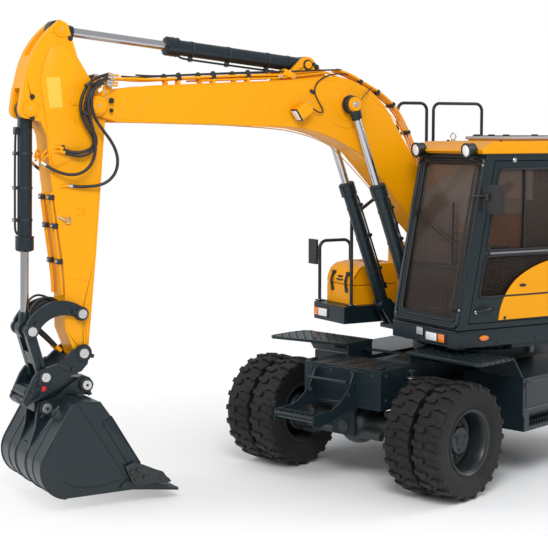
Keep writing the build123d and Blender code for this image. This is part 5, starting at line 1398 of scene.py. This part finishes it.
def withinDeck(x, y):
    sides = zip(deckPlan, deckPlan[1:] + deckPlan[:1])
    return all((bx - ax) * (y - ay) - (by - ay) * (x - ax) < -deckMargin * math.hypot(bx - ax, by - ay)
        for (ax, ay), (bx, by) in sides)


for face, place in zip((1, -1), mirrored(ground)):
    treadPlate("deckTread", place, 1.15, 1.7, 0.36, 1.25, deckTop, "chassis", withinDeck)
    gather(tubeAlong([(x, y, deckTop - 0.002) for x, y in deckPlan[1:]], 0.006, 2), "deckEdges", place, darkPaint,
        "chassis")
    for x, y in ((1.25, 0.42), (1.5, 0.42), (1.25, 0.8), (1.52, 0.8)):
        gather(boltHead(0.013, 0.008), "deckEdges", place @ Matrix.Translation((x, y, deckTop)), castIron,
            "chassis")
    for x in spread(1.2, 1.62, 6):
        gather(boltHead(0.01, 0.008), "deckEdges", place @ turnedTo((0, 1, 0), (x, 1.25, 1.172)), castIron,
            "chassis")
    # ladder plate edges
    y0, y1 = (0.165, 0.18) if face == 1 else (0.275, 0.29)
    gather(block((2.645, y0 - 0.01, 0.745), (2.662, y1 + 0.01, 0.8), 0.004), "ladderTrim", place, darkPaint,
        "chassis")
    # side boxes: light panel with a dark frame, latch, toothed slot
    gatherAll("sidePanels", place, "chassis",
        (block, darkPaint, (-0.262, 1.198, 0.706), (0.942, 1.212, 0.914), 0.006),
        (block, greyPaint, (0.2, 1.21, 0.724), (0.905, 1.216, 0.898), 0.003),
        (block, greyPaint, (-0.235, 1.21, 0.724), (0.15, 1.216, 0.898), 0.003))
    for x in (0.175, 0.925):
        gatherAll("sidePanels", place, "chassis",
            (block, blackPlastic, (x - 0.022, 1.21, 0.775), (x + 0.022, 1.226, 0.85), 0.006),
            (turnedPiece, zincPin, stepped(1.224, [(0.004, 0.014)]), (x, 0.812), 20))
    for x in (-0.22, 0.34, 0.9):
        gather(tubeAlong([(x - 0.05, 1.246, 0.945), (x + 0.05, 1.246, 0.945)], 0.012, 3), "sidePanels", place,
            darkPaint, "chassis")
    for x in spread(-0.2, 0.86, 22):
        gather(block((x - 0.012, 1.17, 0.52), (x + 0.012, 1.19, 0.548), 0.003), "sideTeeth", place, darkPaint,
            "chassis")
    gather(turnedPiece(stepped(1.249, [(0.004, 0.04), (0.01, 0.03)]), (0.955, 0.905), 28), "sidePanels", place,
        blackPlastic, "chassis")
    # brake canister with its cap, bands and brass end
    gather(turnedPiece([(0, 0.0), (0, 0.03), (0.012, 0.036), (0.02, 0.036), (0.028, 0.0)], (0, 0), 28), "canister",
        turnedAbout(place, (1.7, 0.52, 1.03), 90, "X"), castIron, "chassis")
    for z in (0.835, 0.985):
        gather(spunFrom([(-0.006, 0.049), (-0.004, 0.0525), (0.004, 0.0525), (0.006, 0.049)], 32), "canister",
            turnedAbout(place, (1.7, 0.52, z), 90, "X"), zincPin, "chassis")
    gather(tubeAlong([(1.7, 0.52, 0.782), (1.7, 0.52, 0.74), (1.72, 0.48, 0.7), (1.735, 0.42, 0.66)], 0.011, 3),
        "canister", place, hoseRubber, "chassis")
    gather(turnedPiece(stepped(0, [(0.022, 0.016), (0.01, 0.011)]), (0, 0), 20), "canister",
        turnedAbout(place, (1.7, 0.52, 0.752), -90, "X"), brassFitting, "chassis")
    gatherAll("brakeHoses", place, "chassis",
        (tubeAlong, hoseRubber, [(1.52, 0.44, 0.9), (1.6, 0.468, 0.86), (1.75, 0.472, 0.8), (1.86, 0.468, 0.7),
            (1.9, 0.44, 0.62)], 0.011, 3),
        (tubeAlong, hoseRubber, [(1.5, 0.44, 0.86), (1.6, 0.47, 0.8), (1.72, 0.476, 0.72), (1.8, 0.46, 0.62)],
            0.01, 3))
    for x, z in ((1.62, 1.02), (1.62, 0.78), (1.98, 1.02), (1.98, 0.8)):
        gather(boltHead(0.016, 0.01), "noseBolts", place @ turnedTo((0, 1, 0), (x, 0.45, z)), castIron, "chassis")
    gather(tubeAlong([(1.585, 0.451, 0.74), (2.035, 0.451, 0.74)], 0.005, 2), "noseBolts", place, darkPaint,
        "chassis")

# nose plate: anti-slip bars on top, seams and lifting eyes
noseBars = {"rows": 6, "columns": 9, "ahead": 0.07, "across": 0.09, "top": 1.076, "lean": 38}
bar = block((-0.045, -0.0055, -0.001), (0.045, 0.0055, 0.005), 0.0, 1)
spots = []
for row in range(noseBars["rows"]):
    for column in range(noseBars["columns"]):
        spot = (1.64 + row * noseBars["ahead"], -0.36 + column * noseBars["across"], noseBars["top"])
        spots.append(turnedAbout(ground, spot, noseBars["lean"] if column % 2 else -noseBars["lean"], "Z"))
gather(repeated(bar, spots), "noseTread", ground, darkPaint, "chassis")
for y in (-0.4, 0.4):
    gather(block((1.94, y - 0.012, 1.072), (2.03, y + 0.012, 1.1), 0.006), "noseTread", ground, darkPaint,
        "chassis")
gather(tubeAlong([(2.061, -0.435, 0.735), (2.061, 0.435, 0.735), (2.061, 0.435, 1.06), (2.061, -0.435, 1.06),
    (2.061, -0.435, 0.735)], 0.005, 1), "noseTread", ground, darkPaint, "chassis")
for y in (-0.36, -0.12, 0.12, 0.36):
    gather(boltHead(0.016, 0.01), "noseBolts", turnedTo((1, 0, 0), (2.06, y, 1.02)), castIron, "chassis")
# ladder tread: raised teeth and a folded lip
for y in spread(-0.25, 0.14, 14):
    gather(block((2.566, y - 0.006, 0.728), (2.634, y + 0.006, 0.737), 0.002), "ladderTread", ground, darkPaint,
        "chassis")
for y in spread(-0.235, 0.155, 13):
    gather(turnedPiece([(0, 0.0), (0, 0.008), (0.003, 0.006), (0.003, 0.0)], (0, 0), 12), "ladderTread",
        turnedAbout(ground, (2.642, y - 0.015, 0.71), -90, "Z"), blackPaint, "chassis")
# slew ring bolts
slewBolts = {"count": 36, "ring": 0.56, "height": 1.08}
for turn in turnsOf(slewBolts["count"]):
    spot = (slewBolts["ring"] * math.cos(turn), slewBolts["ring"] * math.sin(turn), slewBolts["height"])
    gather(boltHead(0.012, 0.014), "slewBolts", Matrix.Translation(spot), castIron, "chassis")
# rear lamps on the beam
for y in (-0.28, 0.28):
    gatherAll("rearLamps", ground, "chassis",
        (block, blackPlastic, (-1.768, y - 0.11, 0.8), (-1.752, y + 0.11, 0.87), 0.006),
        (block, redLens, (-1.776, y - 0.1, 0.808), (-1.766, y, 0.862), 0.005),
        (block, amberLens, (-1.776, y + 0.01, 0.808), (-1.766, y + 0.1, 0.862), 0.005))
print("chassis fittings made")

# rear and sides: counterweight seam, grille, louvres, caps, hinges, exhaust clamp
tailRadius = 2.13
for z in (1.46, 1.86):
    seam = [(-tailRadius * math.cos(turn), tailRadius * math.sin(turn), z) for turn in spread(-0.56, 0.56, 25)]
    gather(tubeAlong(seam, 0.005, 2), "weightTrim", upperPlace, darkPaint, "upper")
for turn in (-0.46, 0.46):
    place = upperPlace @ Matrix.Rotation(turn, 4, "Z")
    gatherAll("rearLamps2", place, "upper",
        (block, blackPlastic, (-2.134, -0.06, 1.52), (-2.112, 0.06, 1.74), 0.01, 3),
        (block, redLens, (-2.14, -0.045, 1.64), (-2.13, 0.045, 1.725), 0.008, 3),
        (block, amberLens, (-2.14, -0.045, 1.535), (-2.13, 0.045, 1.625), 0.008, 3))
for place in mirrored(upperPlace):
    gather(block((-1.4, 1.236, 1.42), (-0.8, 1.248, 2.02), 0.008), "sideDoors", place, yellowPaint, "upper")
    for z in spread(1.62, 1.96, 12):
        gather(block((-1.34, 1.24, z - 0.007), (-0.86, 1.256, z + 0.007), 0.004), "sideLouvres", place, blackPaint,
            "upper")
    gather(block((-0.87, 1.246, 1.48), (-0.82, 1.262, 1.545), 0.006), "sideLouvres", place, blackPlastic, "upper")
    for z in (1.5, 1.94):
        gather(block((-1.425, 1.238, z - 0.035), (-1.395, 1.254, z + 0.035), 0.005), "sideLouvres", place,
            blackPaint, "upper")
for x in (-0.48, -0.06):
    for turn in turnsOf(8):
        spot = (x + 0.06 * math.cos(turn), -0.8 + 0.06 * math.sin(turn), 2.0)
        gather(block((-0.004, -0.004, 0), (0.004, 0.004, 0.03), 0.001, 1), "tankCaps",
            upperPlace @ Matrix.Translation(spot), blackPlastic, "upper")
for y in spread(-0.7, 0.7, 9):
    gather(block((-1.36, y - 0.03, 2.286), (-0.86, y + 0.03, 2.297), 0.004), "hoodGrille", upperPlace, blackPaint,
        "engine_hood")
for y in (-0.82, 0.82):
    gather(block((-1.47, y - 0.05, 2.2), (-1.45, y + 0.05, 2.26), 0.006), "hoodGrille", upperPlace, blackPlastic,
        "engine_hood")
for z in (2.23, 2.42):
    gather(spunFrom([(-0.012, 0.062), (-0.012, 0.068), (0.012, 0.068), (0.012, 0.062)], 32), "exhaustClamps",
        turnedAbout(upperPlace, (-1.2, -1.06, z), 90, "X"), zincPin, "upper")
# ribbed strip beside the left pillar of the windscreen
for z in spread(1.56, 2.86, 44):
    gather(block((screenX(z) - 0.004, 1.222, z - 0.011), (screenX(z) + 0.012, 1.241, z + 0.004), 0.003),
        "pillarRibs", upperPlace, blackPlastic, "upper")
print("rear fittings made")


settleGathered()
print("small fittings joined")


# floor: a pale plane that keeps the soft shadow and runs out to white
floorSize = {"size": 90, "fadeFrom": 1.2, "fadeTo": 4.4, "centre": (1.2, 0, 0)}
letGo()
bpy.ops.mesh.primitive_plane_add(size=floorSize["size"], location=(0, 0, 0))
floor = bpy.context.object
floor.name = "floor"
floorFinish = bpy.data.materials.new("paleFloor")
floorFinish.use_nodes = True
tree = floorFinish.node_tree
floorShader = tree.nodes["Principled BSDF"]
floorShader.inputs["Roughness"].default_value = 0.95
floorShader.inputs["Specular IOR Level"].default_value = 0.1
floorCoords = tree.nodes.new("ShaderNodeTexCoord").outputs["Object"]
floorTone = noiseNode(tree, floorCoords, 0.4, 2).outputs["Fac"]
tree.links.new(mixColour(tree, floorTone, (0.9, 0.9, 0.9), (0.93, 0.93, 0.93)), floorShader.inputs["Base Color"])
reach = tree.nodes.new("ShaderNodeVectorMath")
reach.operation = "LENGTH"
centred = tree.nodes.new("ShaderNodeVectorMath")
centred.operation = "SUBTRACT"
tree.links.new(floorCoords, centred.inputs[0])
centred.inputs[1].default_value = floorSize["centre"]
tree.links.new(centred.outputs[0], reach.inputs[0])
fade = rampNode(tree, reach.outputs["Value"], floorSize["fadeFrom"], floorSize["fadeTo"])
white = tree.nodes.new("ShaderNodeEmission")
white.inputs["Color"].default_value = (1, 1, 1, 1)
white.inputs["Strength"].default_value = 1.0
floorMix = tree.nodes.new("ShaderNodeMixShader")
floorRays = tree.nodes.new("ShaderNodeLightPath")
tree.links.new(mathNode(tree, "MULTIPLY", fade.outputs[0], floorRays.outputs["Is Camera Ray"]),
    floorMix.inputs["Fac"])
tree.links.new(floorShader.outputs[0], floorMix.inputs[1])
tree.links.new(white.outputs[0], floorMix.inputs[2])
tree.links.new(floorMix.outputs[0], tree.nodes["Material Output"].inputs["Surface"])
floor.data.materials.append(floorFinish)
